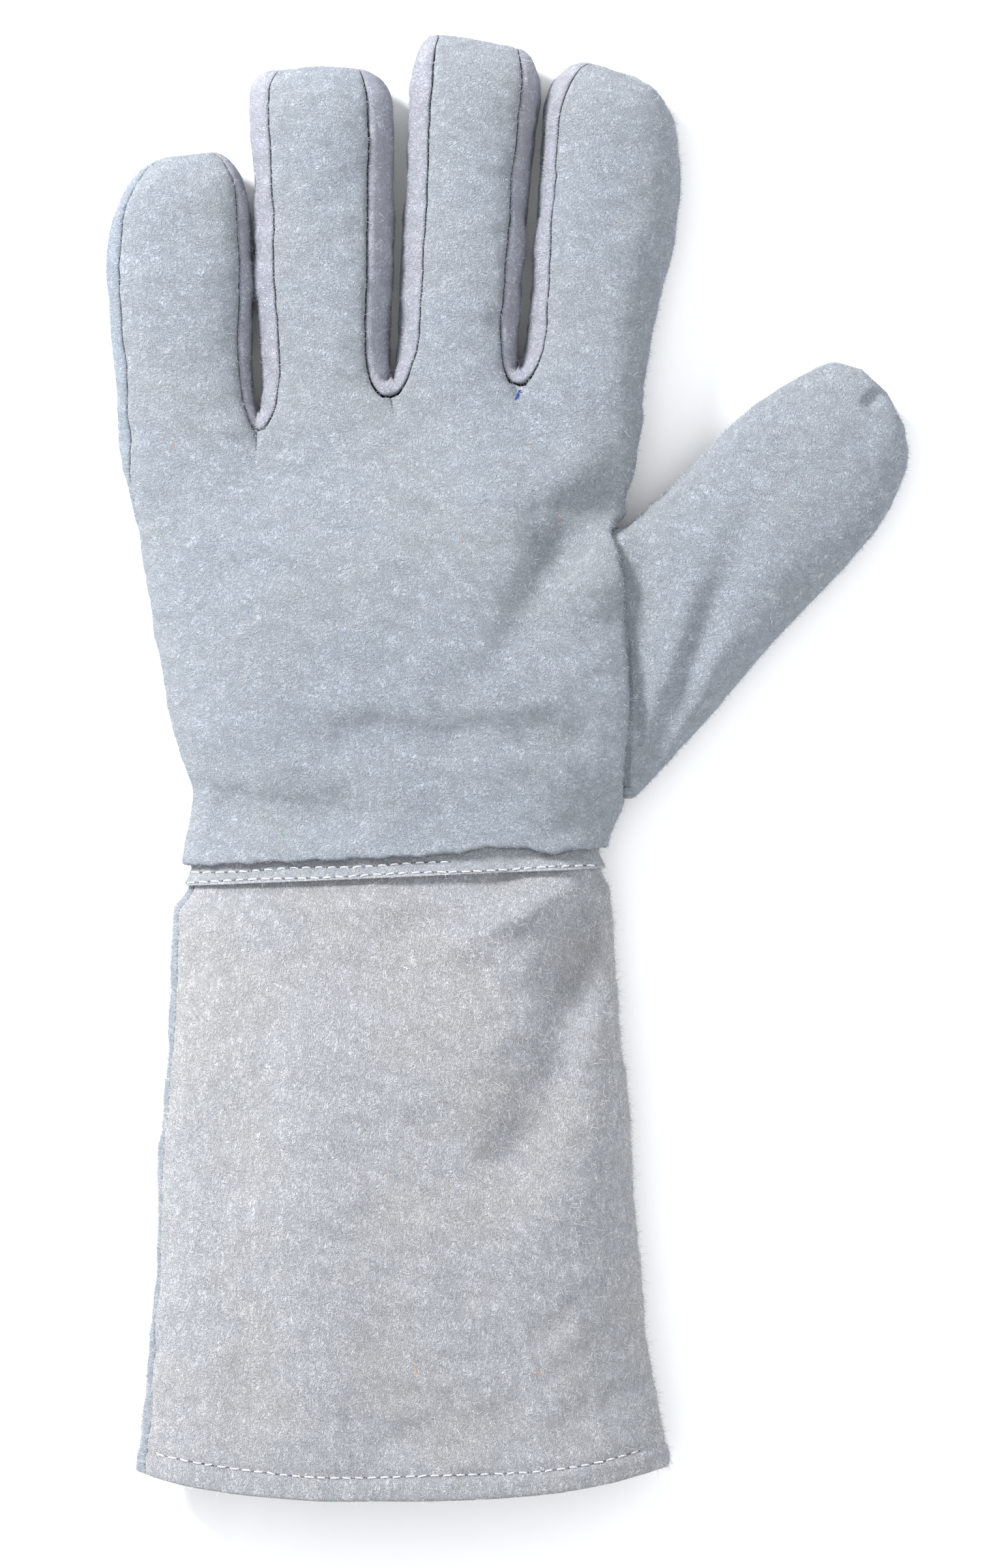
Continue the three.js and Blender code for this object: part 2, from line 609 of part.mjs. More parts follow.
// The hand's front or rear panel: the palm's rows and, on their upper ends, the rows of the four fingers.
function handPanel(rear) {
  const sheet = new Sheet();
  const order = rear ? [3, 2, 1, 0] : [0, 1, 2, 3];
  const rootRows = order.map((index) => panelRow(index, 0, rear));
  const root = [];
  rootRows.forEach((row, k) => {
    if (k === 0) return root.push(...row);
    const shared = root[root.length - 1];
    shared.point.add(row[0].point).multiplyScalar(0.5);
    shared.out.add(row[0].out).normalize();
    root.push(...row.slice(1));
  });
  const count = root.length;
  const ends = (at) => {
    const left = column(leftSeam, "turn", at);
    return rear
      ? [-180 - left, column(rearRightEnd, "turn", at)]
      : [column(frontRightEnd, "turn", at), 180 - left];
  };
  const round = rear ? underRound : topRound;
  const rootTurns = root.map(({ point, turn }, c) => {
    const wrapped = !rear && c < wrapColumns;
    if (wrapped && turn < wrapEnd) return turn;
    const section = handSection(point.y);
    const reach = point.x >= 0 ? section.right : section.left;
    const flat = radToDeg(Math.acos(Math.sign(point.x) * clamp(Math.abs(point.x) / reach, 0, 1) ** (round / 2)));
    return rear ? -flat : flat;
  });
  // The two columns at each of the panel's ends keep their distances from it, and the rest lie between
  // them.
  const palmTurn = (section, from, to, c, part) => {
    if (c === 0) return turnAfter(section, from, seamGap / 2);
    if (c === count - 1) return turnAfter(section, to, -seamGap / 2);
    const inFrom = turnAfter(section, from, lipWidth);
    const inTo = turnAfter(section, to, -lipWidth);
    if (c === 1) return inFrom;
    if (c === count - 2) return inTo;
    const start = rear ? from : Math.min(from, wrapTurn);
    return clamp(lerp(start, to, part), inFrom + endStep * (c - 1), inTo - endStep / 2);
  };
  const palm = palmUps.map((up) => {
    const w = 1 - up;
    return root.map(({ point: rootPoint }, c) => {
      const y = lerp(rootPoint.y, wristY + edgeSlant * rootPoint.x, w);
      const at = (y - wristY) / palmRise;
      const section = handSection(y);
      const [from, to] = ends(at);
      const [rootFrom, rootTo] = ends((rootPoint.y - wristY) / palmRise);
      const rootPart = clamp((rootTurns[c] - rootFrom) / (rootTo - rootFrom), 0, 1);
      const even = lerp(rootPart, c / (count - 1), evenSpread * smoothstep(w, 0, spreadEnd));
      const here = oval(section, palmTurn(section, from, to, c, even));
      const point = new THREE.Vector3(here.across, y, here.z);
      point.z += foldHeight(point.x, y, here.z, section);
      point.x = lerp(rootPoint.x, point.x, smoothstep(w, 0, widthBlend));
      point.z = lerp(rootPoint.z, point.z, smoothstep(w, 0, heightBlend));
      const edge = c === 0 || c === count - 1;
      const out = new THREE.Vector3(here.outX, 0, here.outZ);
      if (edge) point.addScaledVector(out, -seamLip * smoothstep(up, lipStart, lipFull));
      return sheet.add(point, edge ? out : null);
    });
  });
  const rootIds = root.map(({ point, out }) => sheet.add(point, out));
  sheet.grid([...palm, rootIds]);
  let start = 0;
  order.forEach((index, k) => {
    const width = rootRows[k].length;
    const rows = fingerDistances(fingers[index])
      .slice(1)
      .map((distance) => panelRow(index, distance, rear).map(({ point, out }) => sheet.add(point, out)));
    sheet.grid([rootIds.slice(start, start + width), ...rows]);
    start += width - 1;
  });
  return sheet.solid(evenWall);
}

// The strip of leather between two fingers, from the tip of the one on the right down to its root and up
// the other.
function fork(index) {
  const sheet = new Sheet();
  const leg = (finger, isLeft) =>
    fingerDistances(fingers[finger])
      .slice(0, -1)
      .map((distance, k, all) => {
        if (k === all.length - 1) distance -= forkShort;
        const row = fingerRow(finger, distance);
        const { section, notch } = row;
        const [from, to] = isLeft ? [row.rearLeft + 360, row.frontLeft] : [row.rearRight, row.frontRight];
        const way = Math.sign(to - from);
        const start = turnAfter(section, from, (way * seamGap) / 2);
        const end = turnAfter(section, to, (-way * seamGap) / 2);
        const turns = [0, 0.16, 0.38, 0.62, 0.84, 1].map((part) => lerp(start, end, part));
        return turns.map((turn, c) => {
          const edge = c === 0 || c === turns.length - 1;
          const rear = c < turns.length / 2;
          const { point, out } = fingerPoint(row, turn, isLeft ? -1 : 1, rear);
          const v = (2 * c) / (turns.length - 1) - 1;
          point.y += (seamGap + forkRise * (1 - v * v)) * (1 - notch);
          if (edge) point.addScaledVector(out, -seamLip);
          return { point, out: edge ? out : null };
        });
      });
  const right = leg(index, true);
  const left = leg(index + 1, false);
  const crotch = right[0].map((item, c) => {
    const point = item.point.clone().add(left[0][c].point).multiplyScalar(0.5);
    const out = item.out ? item.out.clone().add(left[0][c].out).normalize() : null;
    return { point, out };
  });
  const rows = [...right.slice(1).reverse(), crotch, ...left.slice(1)];
  sheet.grid(rows.map((row) => row.map(({ point, out }) => sheet.add(point, out))));
  return sheet.solid(evenWall);
}

function thumb() {
  const sheet = new Sheet();
  const origin = new THREE.Vector3(thumbX, thumbY, 0);
  const axis = new THREE.Vector3(Math.cos(degToRad(thumbAngle)), Math.sin(degToRad(thumbAngle)), 0);
  const up = new THREE.Vector3(-axis.y, axis.x, 0);
  const put = (along, out) =>
    origin.clone().addScaledVector(axis, along * thumbLength).addScaledVector(up, out * thumbWidth);
  const turnsAround = 26;
  const flat = ({ x, y }) => new THREE.Vector2(x, y);
  const folds = thumbFolds.map((fold) => ({
    ...fold,
    from: flat(put(fold.along, fold.out)),
    to: flat(put(fold.toAlong, fold.toOut)),
  }));
  const rows = thumbRows.map((row) => {
    const upper = put(row.upAlong, row.upOut);
    const lower = put(row.lowAlong, row.lowOut);
    const middle = upper.clone().add(lower).multiplyScalar(0.5);
    const across = lower.clone().sub(upper);
    const half = across.length() / 2;
    across.normalize();
    const section = {
      left: half,
      right: half,
      lift: thumbLift,
      top: thumbLift + (thumbThickness - thumbLift) * row.thick,
      floor: row.low * thumbThickness,
    };
    return Array.from({ length: turnsAround }, (unused, c) => {
      const here = oval(section, (360 * c) / turnsAround);
      const point = middle.clone().addScaledVector(across, here.across);
      point.z = here.z + foldHeight(point.x, point.y, here.z, section, folds);
      return sheet.add(point);
    });
  });
  const tip = put(thumbTip.along, thumbTip.out);
  tip.z = thumbLift;
  sheet.grid(rows, true);
  sheet.fan(rows[rows.length - 1], sheet.add(tip));
  return sheet.solid(evenWall);
}

// A closed loop or an open patch of the wrist's or the cuff's section, between two lines across the glove.
function loopRows(sheet, section, heights, turnsAt) {
  return heights.map((heightAt) => {
    const flatY = heightAt(0);
    const middle = section(flatY, flatY);
    return turnsAt(middle).map(({ turn, edge }) => {
      const y = heightAt(oval(middle, turn).across);
      const own = section(y, flatY);
      const here = oval(own, turn);
      const point = new THREE.Vector3(here.across, y, here.z);
      const out = new THREE.Vector3(here.outX, 0, here.outZ);
      point.z += foldHeight(point.x, y, here.z, own);
      if (edge) point.addScaledVector(out, -seamLip);
      return sheet.add(point, edge ? out : null);
    });
  });
}

function wristBand() {
  const sheet = new Sheet();
  const heights = [0, 0.2, 0.4, 0.7, 1].map((part) => (x) => wristY - bandShown + part * bandWidth + edgeSlant * x);
  const around = 48;
  const turnsAt = () => Array.from({ length: around }, (unused, c) => ({ turn: (360 * c) / around }));
  sheet.grid(loopRows(sheet, bandSection, heights, turnsAt), true);
  return sheet.solid(() => bandLeather);
}

const cuffSeamLeft = 13; // the front's side seams, as turns above and below the widest places
const cuffSeamRight = -12;
const cuffParts = [0.1, 0.2, 0.3, 0.4, 0.5, 0.6, 0.7, 0.8, 0.9];
const cuffUps = [
  0, 0.008, 0.037, 0.046, 0.1, 0.18, 0.27, 0.36, 0.45, 0.54, 0.63, 0.71, 0.79, 0.85, 0.892, 0.914, 0.933, 0.965, 1,
];

function cuffPanel(rear) {
  const sheet = new Sheet();
  const mouth = (x) => mouthBow * Math.abs(x / (cuffMouthWidth / 2)) ** bowRound;
  const heights = cuffUps.map((up) => (x) => lerp(mouth(x), cuffLength + edgeSlant * x, up));
  const turnsAt = (section) => {
    const turns = rear
      ? patchTurns(section, -180 - cuffSeamLeft, cuffSeamRight, cuffParts)
      : patchTurns(section, cuffSeamRight, 180 - cuffSeamLeft, cuffParts);
    return turns.map((turn, c) => ({ turn, edge: c === 0 || c === turns.length - 1 }));
  };
  sheet.grid(loopRows(sheet, cuffSection, heights, turnsAt));
  // The hem is the leather turned in and sewn, so the wall is thicker there.
  return sheet.solid((point) => (point.y < hemWidth + mouth(point.x) ? hemLayers * leather : leather));
}

function piece(name, geometry, color) {
  const mesh = new THREE.Mesh(geometry, new THREE.MeshStandardMaterial({ color, roughness: 0.95 }));
  mesh.name = name;
  return mesh;
}

const glove = new THREE.Group();
glove.name = "welding_gauntlet";
glove.add(
  piece("hand_front_panel", handPanel(false), colours.hand),
  piece("hand_rear_panel", handPanel(true), colours.rear),
  piece("fork_middle_index", fork(0), colours.fork),
  piece("fork_ring_middle", fork(1), colours.fork),
  piece("fork_little_ring", fork(2), colours.fork),
  piece("thumb", thumb(), colours.thumb),
  piece("wrist_band", wristBand(), colours.band),
  piece("cuff_front_panel", cuffPanel(false), colours.cuff),
  piece("cuff_rear_panel", cuffPanel(true), colours.cuff),
);

// The origin goes under the middle of the box.
const box = new THREE.Box3().setFromObject(glove);
const middle = box.getCenter(new THREE.Vector3());
for (const mesh of glove.children) mesh.geometry.translate(-middle.x, -middle.y, -box.min.z);

export default glove;
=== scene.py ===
"""The looks of a welding gauntlet of split leather that lies on its back.

Lengths are in millimetres in the glove's own frame, as in the part's source: X towards the thumb, Y from the
cuff's mouth to the fingertips. to_scene() moves them to the part's frame, in metres.
"""
import math

import bpy
import numpy as np
from mathutils.bvhtree import BVHTree
from mathutils.kdtree import KDTree
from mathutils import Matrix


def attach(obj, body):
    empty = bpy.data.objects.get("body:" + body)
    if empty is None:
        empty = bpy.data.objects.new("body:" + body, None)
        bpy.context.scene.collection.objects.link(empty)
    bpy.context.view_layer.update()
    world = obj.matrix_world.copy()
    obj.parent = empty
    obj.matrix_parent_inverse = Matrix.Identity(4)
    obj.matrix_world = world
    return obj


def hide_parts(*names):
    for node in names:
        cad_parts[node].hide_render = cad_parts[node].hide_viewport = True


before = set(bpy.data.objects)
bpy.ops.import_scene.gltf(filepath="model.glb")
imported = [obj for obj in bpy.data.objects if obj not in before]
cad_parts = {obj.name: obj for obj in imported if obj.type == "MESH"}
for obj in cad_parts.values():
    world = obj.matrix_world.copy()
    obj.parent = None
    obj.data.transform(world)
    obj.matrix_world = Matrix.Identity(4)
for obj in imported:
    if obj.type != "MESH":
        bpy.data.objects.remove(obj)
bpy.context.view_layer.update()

rng = np.random.default_rng(7)

# Driving dimensions
LEATHER = 1.4
BAND_LEATHER = 1.2
SEAM_GAP = 0.3
LAYER_GAP = 0.8
SEAM_LIP = 0.9
LIP_WIDTH = 1.8

CUFF_LENGTH = 158.0
CUFF_MOUTH_WIDTH = 124.0
CUFF_THICKNESS = 44.0
CUFF_LIFT = 16.0
MOUTH_BOW = 6.0
HEM_WIDTH = 6.0

WRIST_Y = CUFF_LENGTH - 5.3
WRIST_WIDTH = 102.6
HALF_WRIST = WRIST_WIDTH / 2
WRIST_THICKNESS = 33.0
EDGE_SLANT = 0.042
BAND_SHOWN = 4.6
BAND_WIDTH = 11.0
BAND_FLARE = 2.6
TUCK_LENGTH = 7.0
# How much less of BAND_FLARE the sides of the band spring out by
SIDE_DRAW = 0.4

PALM_RISE = 113.2
PALM_THICKNESS = 34.0
PALM_LIFT = 12.0
THUMB_REACH = 63.8

KNUCKLE_SHIFT = -2.4
ROOT_DROPS = (0.055, 0, 0.0375, 0.141, 0.136)
FINGER_WIDTH = 32.0
FINGER_LENGTH = 80.0
FINGER_THICKNESS = 25.0
FINGER_LIFT = 9.6
FORK_NOTCH = 17.0
FORK_RISE = 5.5
FINGER_GAP = 0.8
REAR_STRIP = 3.6
TIP_ROUND = 15.0

# The middle of the part's box in the glove's frame, so that pieces land where the part has them
MIDDLE_X = 28.2
MIDDLE_Y = 175.146

TOP_ROUND = 2.4
UNDER_ROUND = 3.4
FLOOR_PRESS = 1.2
END_ROUND = 2.2

# The fingers from the thumb's side, with the columns of the part's own table
FINGERS = [
    dict(root=0.931, tip=1.063, length=0.991, thickness=1, lean=6.4, slant=-0.05,
         right=dict(strip=0, swell=0.055, corner_long=0.287, corner_wide=0.46),
         left=dict(strip=0.134, swell=-0.02, corner_long=0.212, corner_wide=0.366)),
    dict(root=0.953, tip=0.995, length=1.061, thickness=0.96, lean=4.2, slant=-0.037,
         right=dict(strip=0.131, swell=-0.03, corner_long=0.175, corner_wide=0.24),
         left=dict(strip=0.15, swell=0.006, corner_long=0.125, corner_wide=0.16)),
    dict(root=0.997, tip=1.09, length=1.049, thickness=0.96, lean=-0.8, slant=-0.006,
         right=dict(strip=0.188, swell=0.018, corner_long=0.15, corner_wide=0.273),
         left=dict(strip=0.144, swell=-0.01, corner_long=0.113, corner_wide=0.258)),
    dict(root=1.038, tip=1.035, length=0.84, thickness=0.9, lean=-1.6, slant=0.013,
         right=dict(strip=0.087, swell=-0.02, corner_long=0.188, corner_wide=0.334),
         left=dict(strip=0.069, swell=0.069, corner_long=0.312, corner_wide=0.49)),
]

# Outlines, as in the part's source: at runs from 0 to 1 along the cuff or the palm
CUFF_ROWS = np.array([
    # at, left, right, top
    (0, 0.972, 1.06, 0.93), (0.05, 0.97, 1.06, 0.95), (0.13, 0.945, 1.03, 0.97),
    (0.25, 0.925, 0.988, 0.99), (0.38, 0.912, 0.96, 1), (0.52, 0.891, 0.926, 0.98),
    (0.66, 0.868, 0.902, 0.93), (0.78, 0.855, 0.877, 0.86), (0.88, 0.845, 0.855, 0.8),
    (1, 0.825, 0.84, 0.75)])
PALM_LEFT = np.array([
    # at, out
    (0, 0.978), (0.04, 0.967), (0.08, 0.945), (0.138, 0.926), (0.17, 0.945), (0.24, 0.995), (0.33, 1.04),
    (0.49, 1.111), (0.655, 1.168), (0.82, 1.23), (1.05, 1.3)])
PALM_RIGHT = [(0, 1.013), (0.03, 1.015), (0.056, 1.03), (0.1, 1.075)]
PALM_AT_THUMB = [(0.15, 0.915), (0.2, 0.955), (0.3, 1), (0.5, 0.985), (0.64, 0.96), (0.705, 0.93)]
PALM_AT_INDEX = [(0.745, 1.08), (0.82, 1.12), (0.92, 1.155), (1.05, 1.2)]
PALM_TOP = np.array([(0, 0.95), (0.1, 0.93), (0.35, 0.99), (0.55, 1), (0.75, 0.95), (1, 0.84)])
RIGHT_OUT = np.array([(at, out * HALF_WRIST) for at, out in PALM_RIGHT]
                     + [(at, out * THUMB_REACH) for at, out in PALM_AT_THUMB]
                     + [(at, out * HALF_WRIST) for at, out in PALM_AT_INDEX])
# Where the panels end, as a turn in degrees, and how far the index finger's front wraps around its side
WRAP_TURN = -46.0
FRONT_RIGHT_END = np.array([
    (0, -35), (0.1, -28), (0.12, 2), (0.15, 15), (0.2, 23), (0.3, 28), (0.69, 28), (0.715, 24),
    (0.75, -36), (0.8, -46)])
REAR_RIGHT_END = np.array([(0, -35), (0.1, -35), (0.16, -46), (0.8, -46)])
LEFT_SEAM = np.array([(-0.05, -10), (0.5, -6), (0.75, 4), (1, 30)])

# The thumb's outlines: up_along, up_out, low_along, low_out, thick, low
THUMB_LENGTH = 88.0
THUMB_WIDTH = 40.0
THUMB_THICKNESS = 24.0
THUMB_ANGLE = 45.0
THUMB_X = 56.0
THUMB_Y = 200.0
THUMB_LIFT = 11.5
THUMB_ROWS = np.array([
    (0.205, 0.7, -0.3, -0.47, 0.78, 0.167),
    (0.266, 0.56, -0.235, -0.625, 0.78, 0.108),
    (0.346, 0.538, -0.079, -0.615, 0.95, 0.079),
    (0.446, 0.524, 0.091, -0.585, 1, 0),
    (0.548, 0.527, 0.258, -0.552, 1, 0),
    (0.653, 0.538, 0.422, -0.547, 1, 0),
    (0.747, 0.522, 0.565, -0.541, 0.98, 0),
    (0.835, 0.494, 0.699, -0.514, 0.93, 0.025),
    (0.909, 0.447, 0.821, -0.45, 0.83, 0.083),
    (0.975, 0.38, 0.925, -0.36, 0.7, 0.175),
    (1.016, 0.23, 0.99, -0.21, 0.55, 0.292)])
THUMB_TIP = (1.028, 0.02)

# Dents, below 0, and ridges of the front: across is a share of half the wrist's width, up of the palm's rise
FOLD_SIZE = 10.0
PALM_FOLDS = [
    # across, up, to_across, to_up, wide, deep
    (1.07, 0.8, 0.76, 0.66, 0.6, -0.4), (0.76, 0.66, 0.6, 0.47, 0.7, -0.24),
    (-0.2, 0.24, 0.85, 0.25, 0.5, -0.14), (-0.75, 0.1, -0.2, 0.09, 0.5, -0.14),
    (-1.05, 0.76, -0.75, 0.62, 0.7, -0.1), (0.87, 0.59, 0.96, 0.55, 0.5, 0.1)]
CUFF_FOLDS = [
    (0.1, 0.86, 0.55, 0.92, 0.6, -0.24), (0.36, 0.85, 0.86, 0.93, 0.5, 0.18),
    (0.98, 0.92, 0.84, 0.78, 0.7, -0.36), (0.84, 0.78, 0.6, 0.52, 1.0, -0.34),
    (1.22, 0.13, 1.02, 0.1, 0.5, -0.16), (-0.2, 0.68, -0.35, 0.15, 1.6, 0.2)]
# Finer folds that only the visual mesh has, in millimetres: x, y, to_x, to_y, wide, deep
HAND_CREASES = np.array([
    (53.6, 235.5, 40.0, 222.0, 4.6, -1.5), (40.0, 222.0, 27.0, 204.0, 4.0, -1.1),
    (43.0, 216.0, 53.0, 219.5, 5.0, 1.0), (35.0, 235.5, 53.0, 237.5, 4.5, -0.8),
    (36.5, 222.5, 33.0, 213.5, 2.2, -0.9), (30.0, 226.0, 36.0, 229.0, 6.0, 0.6),
    (-14.0, 183.0, 44.0, 183.5, 4.5, -0.8), (-10.0, 190.0, 40.0, 190.5, 5.0, 0.5),
    (-4.0, 263.0, 14.0, 254.0, 4.0, -0.5), (30.5, 262.5, 42.0, 255.0, 4.0, -0.5),
    (47.0, 280.0, 52.0, 250.0, 7.0, -0.8), (-38.0, 164.0, -8.0, 162.0, 5.0, -0.9),
    (42.0, 157.0, 51.0, 161.0, 4.0, -0.9), (-60.0, 238.0, -38.0, 216.0, 7.0, -0.7),
    (-31.0, 250.0, -29.0, 232.0, 4.0, -0.4), (10.0, 200.0, 26.0, 206.0, 7.0, 0.6)])
CUFF_CREASES = np.array([
    (3.0, 147.0, 31.0, 133.0, 4.0, -1.1), (16.0, 134.5, 45.5, 145.5, 4.5, 1.0),
    (51.5, 148.8, 44.0, 123.7, 5.0, -1.9), (44.0, 123.7, 39.2, 100.0, 5.5, -2.0),
    (39.2, 100.0, 30.0, 82.0, 6.5, -1.3), (52.0, 112.0, 50.0, 84.0, 7.0, 0.9),
    (-11.0, 61.0, -3.0, 66.0, 5.0, -0.6), (0.0, 14.0, 8.0, 17.0, 5.0, -0.6),
    (39.0, 40.0, 46.0, 48.0, 5.0, -0.7), (41.0, 15.0, 47.0, 22.0, 4.0, -0.7),
    (53.0, 25.0, 62.5, 31.0, 3.0, -1.2), (50.0, 15.0, 60.0, 19.0, 5.0, 0.9),
    (-40.0, 120.0, -36.0, 60.0, 9.0, -0.6), (-20.0, 130.0, -24.0, 40.0, 10.0, 0.5),
    (18.0, 70.0, 22.0, 20.0, 9.0, -0.6), (60.0, 140.0, 56.0, 40.0, 13.0, -1.4)])


def smooth(x, low, high):
    t = np.clip((np.asarray(x, float) - low) / (high - low), 0, 1)
    return t * t * (3 - 2 * t)


def lerp(a, b, t):
    return a + (b - a) * t


def column(table, index, at):
    """One column of a table, read smoothly between its rows, as the part's source does."""
    xs, ys = table[:, 0], table[:, index]
    at = np.clip(np.asarray(at, float), xs[0], xs[-1])
    slope = np.diff(ys) / np.diff(xs)
    tangent = np.empty(len(xs))
    tangent[0], tangent[-1] = slope[0], slope[-1]
    before, after = slope[:-1], slope[1:]
    same = before * after > 0
    tangent[1:-1] = np.where(same, 2 * before * after / np.where(same, before + after, 1), 0)
    i = np.clip(np.searchsorted(xs, at, side="right") - 1, 0, len(xs) - 2)
    width = xs[i + 1] - xs[i]
    t = (at - xs[i]) / width
    bend = tangent[i] * (1 - t) ** 2 * t - tangent[i + 1] * t * t * (1 - t)
    return lerp(ys[i], ys[i + 1], t * t * (3 - 2 * t)) + width * bend


def signed_power(value, power):
    return np.sign(value) * np.abs(value) ** power


def oval(section, turn):
    """Points of an oval section at turns in degrees: across, height, and the direction out of the section."""
    left, right, top, lift, floor = section
    turn = np.radians(np.asarray(turn, float))
    c, s = np.cos(turn), np.sin(turn)
    power = np.where(s >= 0, 2 / TOP_ROUND, 2 / UNDER_ROUND)
    reach = np.where(c >= 0, right, left)
    rise = np.where(s >= 0, top - lift, lift - floor + FLOOR_PRESS)
    across = signed_power(c, power) * reach
    z = np.maximum(lift + signed_power(s, power) * rise, floor)
    out_x = signed_power(c, 2 - power) / reach
    out_z = signed_power(s, 2 - power) / rise
    size = np.maximum(np.hypot(out_x, out_z), 1e-9)
    return across, z, out_x / size, out_z / size


def arc_table(section, start, end, count=360):
    """Turns from start to end with the length of the outline up to each."""
    turns = np.linspace(start, end, count)
    across, z, _, _ = oval(section, turns)
    steps = np.hypot(np.diff(across), np.diff(z))
    return turns, np.concatenate([[0], np.cumsum(steps)])


def patch_turns(section, start, end, count):
    """Turns of a patch's columns: close together where its edges roll in, and even in between."""
    turns, length = arc_table(section, start, end)
    whole = length[-1]
    edge = SEAM_GAP / 2 + LIP_STEPS * LIP_WIDTH
    edge = edge * min(1, 0.4 * whole / edge[-1])
    inner = np.linspace(edge[-1], whole - edge[-1], count - 2 * len(edge) + 2)[1:-1]
    wanted = np.concatenate([edge, inner, whole - edge[::-1]])
    return np.interp(wanted, length, turns)


# The columns of the edges that roll in, as shares of LIP_WIDTH from the edge
LIP_STEPS = np.array([0, 0.12, 0.3, 0.52, 0.76, 1.0])

# How fine the visual mesh is: columns for each finger, and the spacing of its rows beside the front's
FRONT_COLUMNS = 46
FRONT_STEP = 1.0
REAR_COLUMNS = 26
REAR_STEP = 2.0
FORK_COLUMNS = 26
THUMB_AROUND = 190
ROOT_ROWS = 30
TIP_ROWS = 26
PALM_ROW_STEP = 0.0092
# How finely the palm's sections are tabled: heights, steps of each outline, and shares of its length
TABLE_ROWS = 248
ARC_STEPS = 500
SHARE_STEPS = 400


def round_off(to_end, zone):
    t = np.clip(1 - to_end / zone, 0, 1)
    return np.maximum(0, 1 - t ** END_ROUND) ** (1 / END_ROUND)


def strip_turn(reach, strip, roundness):
    return math.degrees(math.acos(np.clip(1 - strip / reach, 0, 1) ** (roundness / 2)))


def fold_sum(folds, x, y, base, rise):
    total = np.zeros_like(x)
    for across, up, to_across, to_up, wide, deep in folds:
        ax, ay = across * HALF_WRIST, base + up * rise
        dx, dy = to_across * HALF_WRIST - ax, base + to_up * rise - ay
        t = np.clip(((x - ax) * dx + (y - ay) * dy) / (dx * dx + dy * dy), 0, 1)
        off = np.hypot(x - ax - t * dx, y - ay - t * dy)
        total += deep * FOLD_SIZE * np.exp(-((off / (wide * FOLD_SIZE)) ** 2))
    return total


def crease_sum(creases, x, y):
    """The height of lines of creases and ridges, in millimetres.

    Where lines of one kind meet, the deepest or the highest of them counts, so that a crease of several
    lines is even along its length.
    """
    low, high = np.zeros_like(x), np.zeros_like(x)
    for ax, ay, bx, by, wide, deep in creases:
        dx, dy = bx - ax, by - ay
        t = np.clip(((x - ax) * dx + (y - ay) * dy) / (dx * dx + dy * dy), 0, 1)
        off = np.hypot(x - ax - t * dx, y - ay - t * dy)
        height = deep * np.exp(-((off / wide) ** 2))
        low, high = np.minimum(low, height), np.maximum(high, height)
    return low + high


def fold_height(x, y, z, section):
    _, _, top, lift, _ = section
    height = fold_sum(PALM_FOLDS, x, y, WRIST_Y, PALM_RISE) + fold_sum(CUFF_FOLDS, x, y, 0, CUFF_LENGTH)
    return height * smooth(z, lift, lerp(lift, top, 0.6))


def hand_section(y):
    at = (y - WRIST_Y) / PALM_RISE
    thickness = lerp(WRIST_THICKNESS, PALM_THICKNESS, smooth(at, 0, 0.3))
    left, right = column(PALM_LEFT, 1, at) * HALF_WRIST, column(RIGHT_OUT, 1, at)
    return left, right, thickness * column(PALM_TOP, 1, at), PALM_LIFT, 0.0


def inset(section, depth, flare):
    left, right, top, lift, floor = section
    draw = depth - flare
    return left - draw, right - draw, top - draw, lift, floor + depth


def flare_at(flat_y):
    return BAND_FLARE * smooth(WRIST_Y - flat_y, SEAM_GAP, BAND_SHOWN)


def band_section(y, flat_y):
    left, right, top, lift, floor = inset(hand_section(y), LEATHER + LAYER_GAP, flare_at(flat_y))
    draw = SIDE_DRAW * flare_at(flat_y)
    return left - draw, right - draw, top, lift, floor


def cuff_section(y, flat_y):
    at = y / CUFF_LENGTH
    half = CUFF_MOUTH_WIDTH / 2
    own = (column(CUFF_ROWS, 1, at) * half, column(CUFF_ROWS, 2, at) * half,
           column(CUFF_ROWS, 3, at) * CUFF_THICKNESS, lerp(CUFF_LIFT, PALM_LIFT, smooth(at, 0, 1)), 0.0)
    tucked = inset(hand_section(y), LEATHER + BAND_LEATHER + 2 * LAYER_GAP, flare_at(flat_y))
    foot = WRIST_Y - BAND_SHOWN
    tuck = smooth(flat_y, foot - TUCK_LENGTH, foot - SEAM_GAP)
    return tuple(lerp(a, b, tuck) for a, b in zip(own, tucked))


def waves(points, length, seed, count=9):
    """Soft noise of about 1 in size, from a few waves that run in directions of their own."""
    source = np.random.default_rng(seed)
    total = np.zeros(len(points))
    for _ in range(count):
        way = source.normal(size=3)
        way /= np.linalg.norm(way)
        size = length * source.uniform(0.7, 1.5)
        total += np.sin(points @ way * (2 * math.pi / size) + source.uniform(0, 6.283))
    return total / math.sqrt(count / 2) * 0.7


# How deep the soft unevenness of the leather is: the length of its waves, its depth and a seed of its own
UNEVEN = [(34, 0.5, 1), (15, 0.26, 2), (7, 0.12, 3), (3.4, 0.06, 4)]


def edge_roll(distance, width):
    """How far an edge has rolled in at a distance from it: from 1 at the edge to 0, as a quarter circle."""
    t = 1 - np.clip(np.asarray(distance, float) / width, 0, 1)
    return 1 - np.sqrt(np.maximum(0, 1 - t * t))


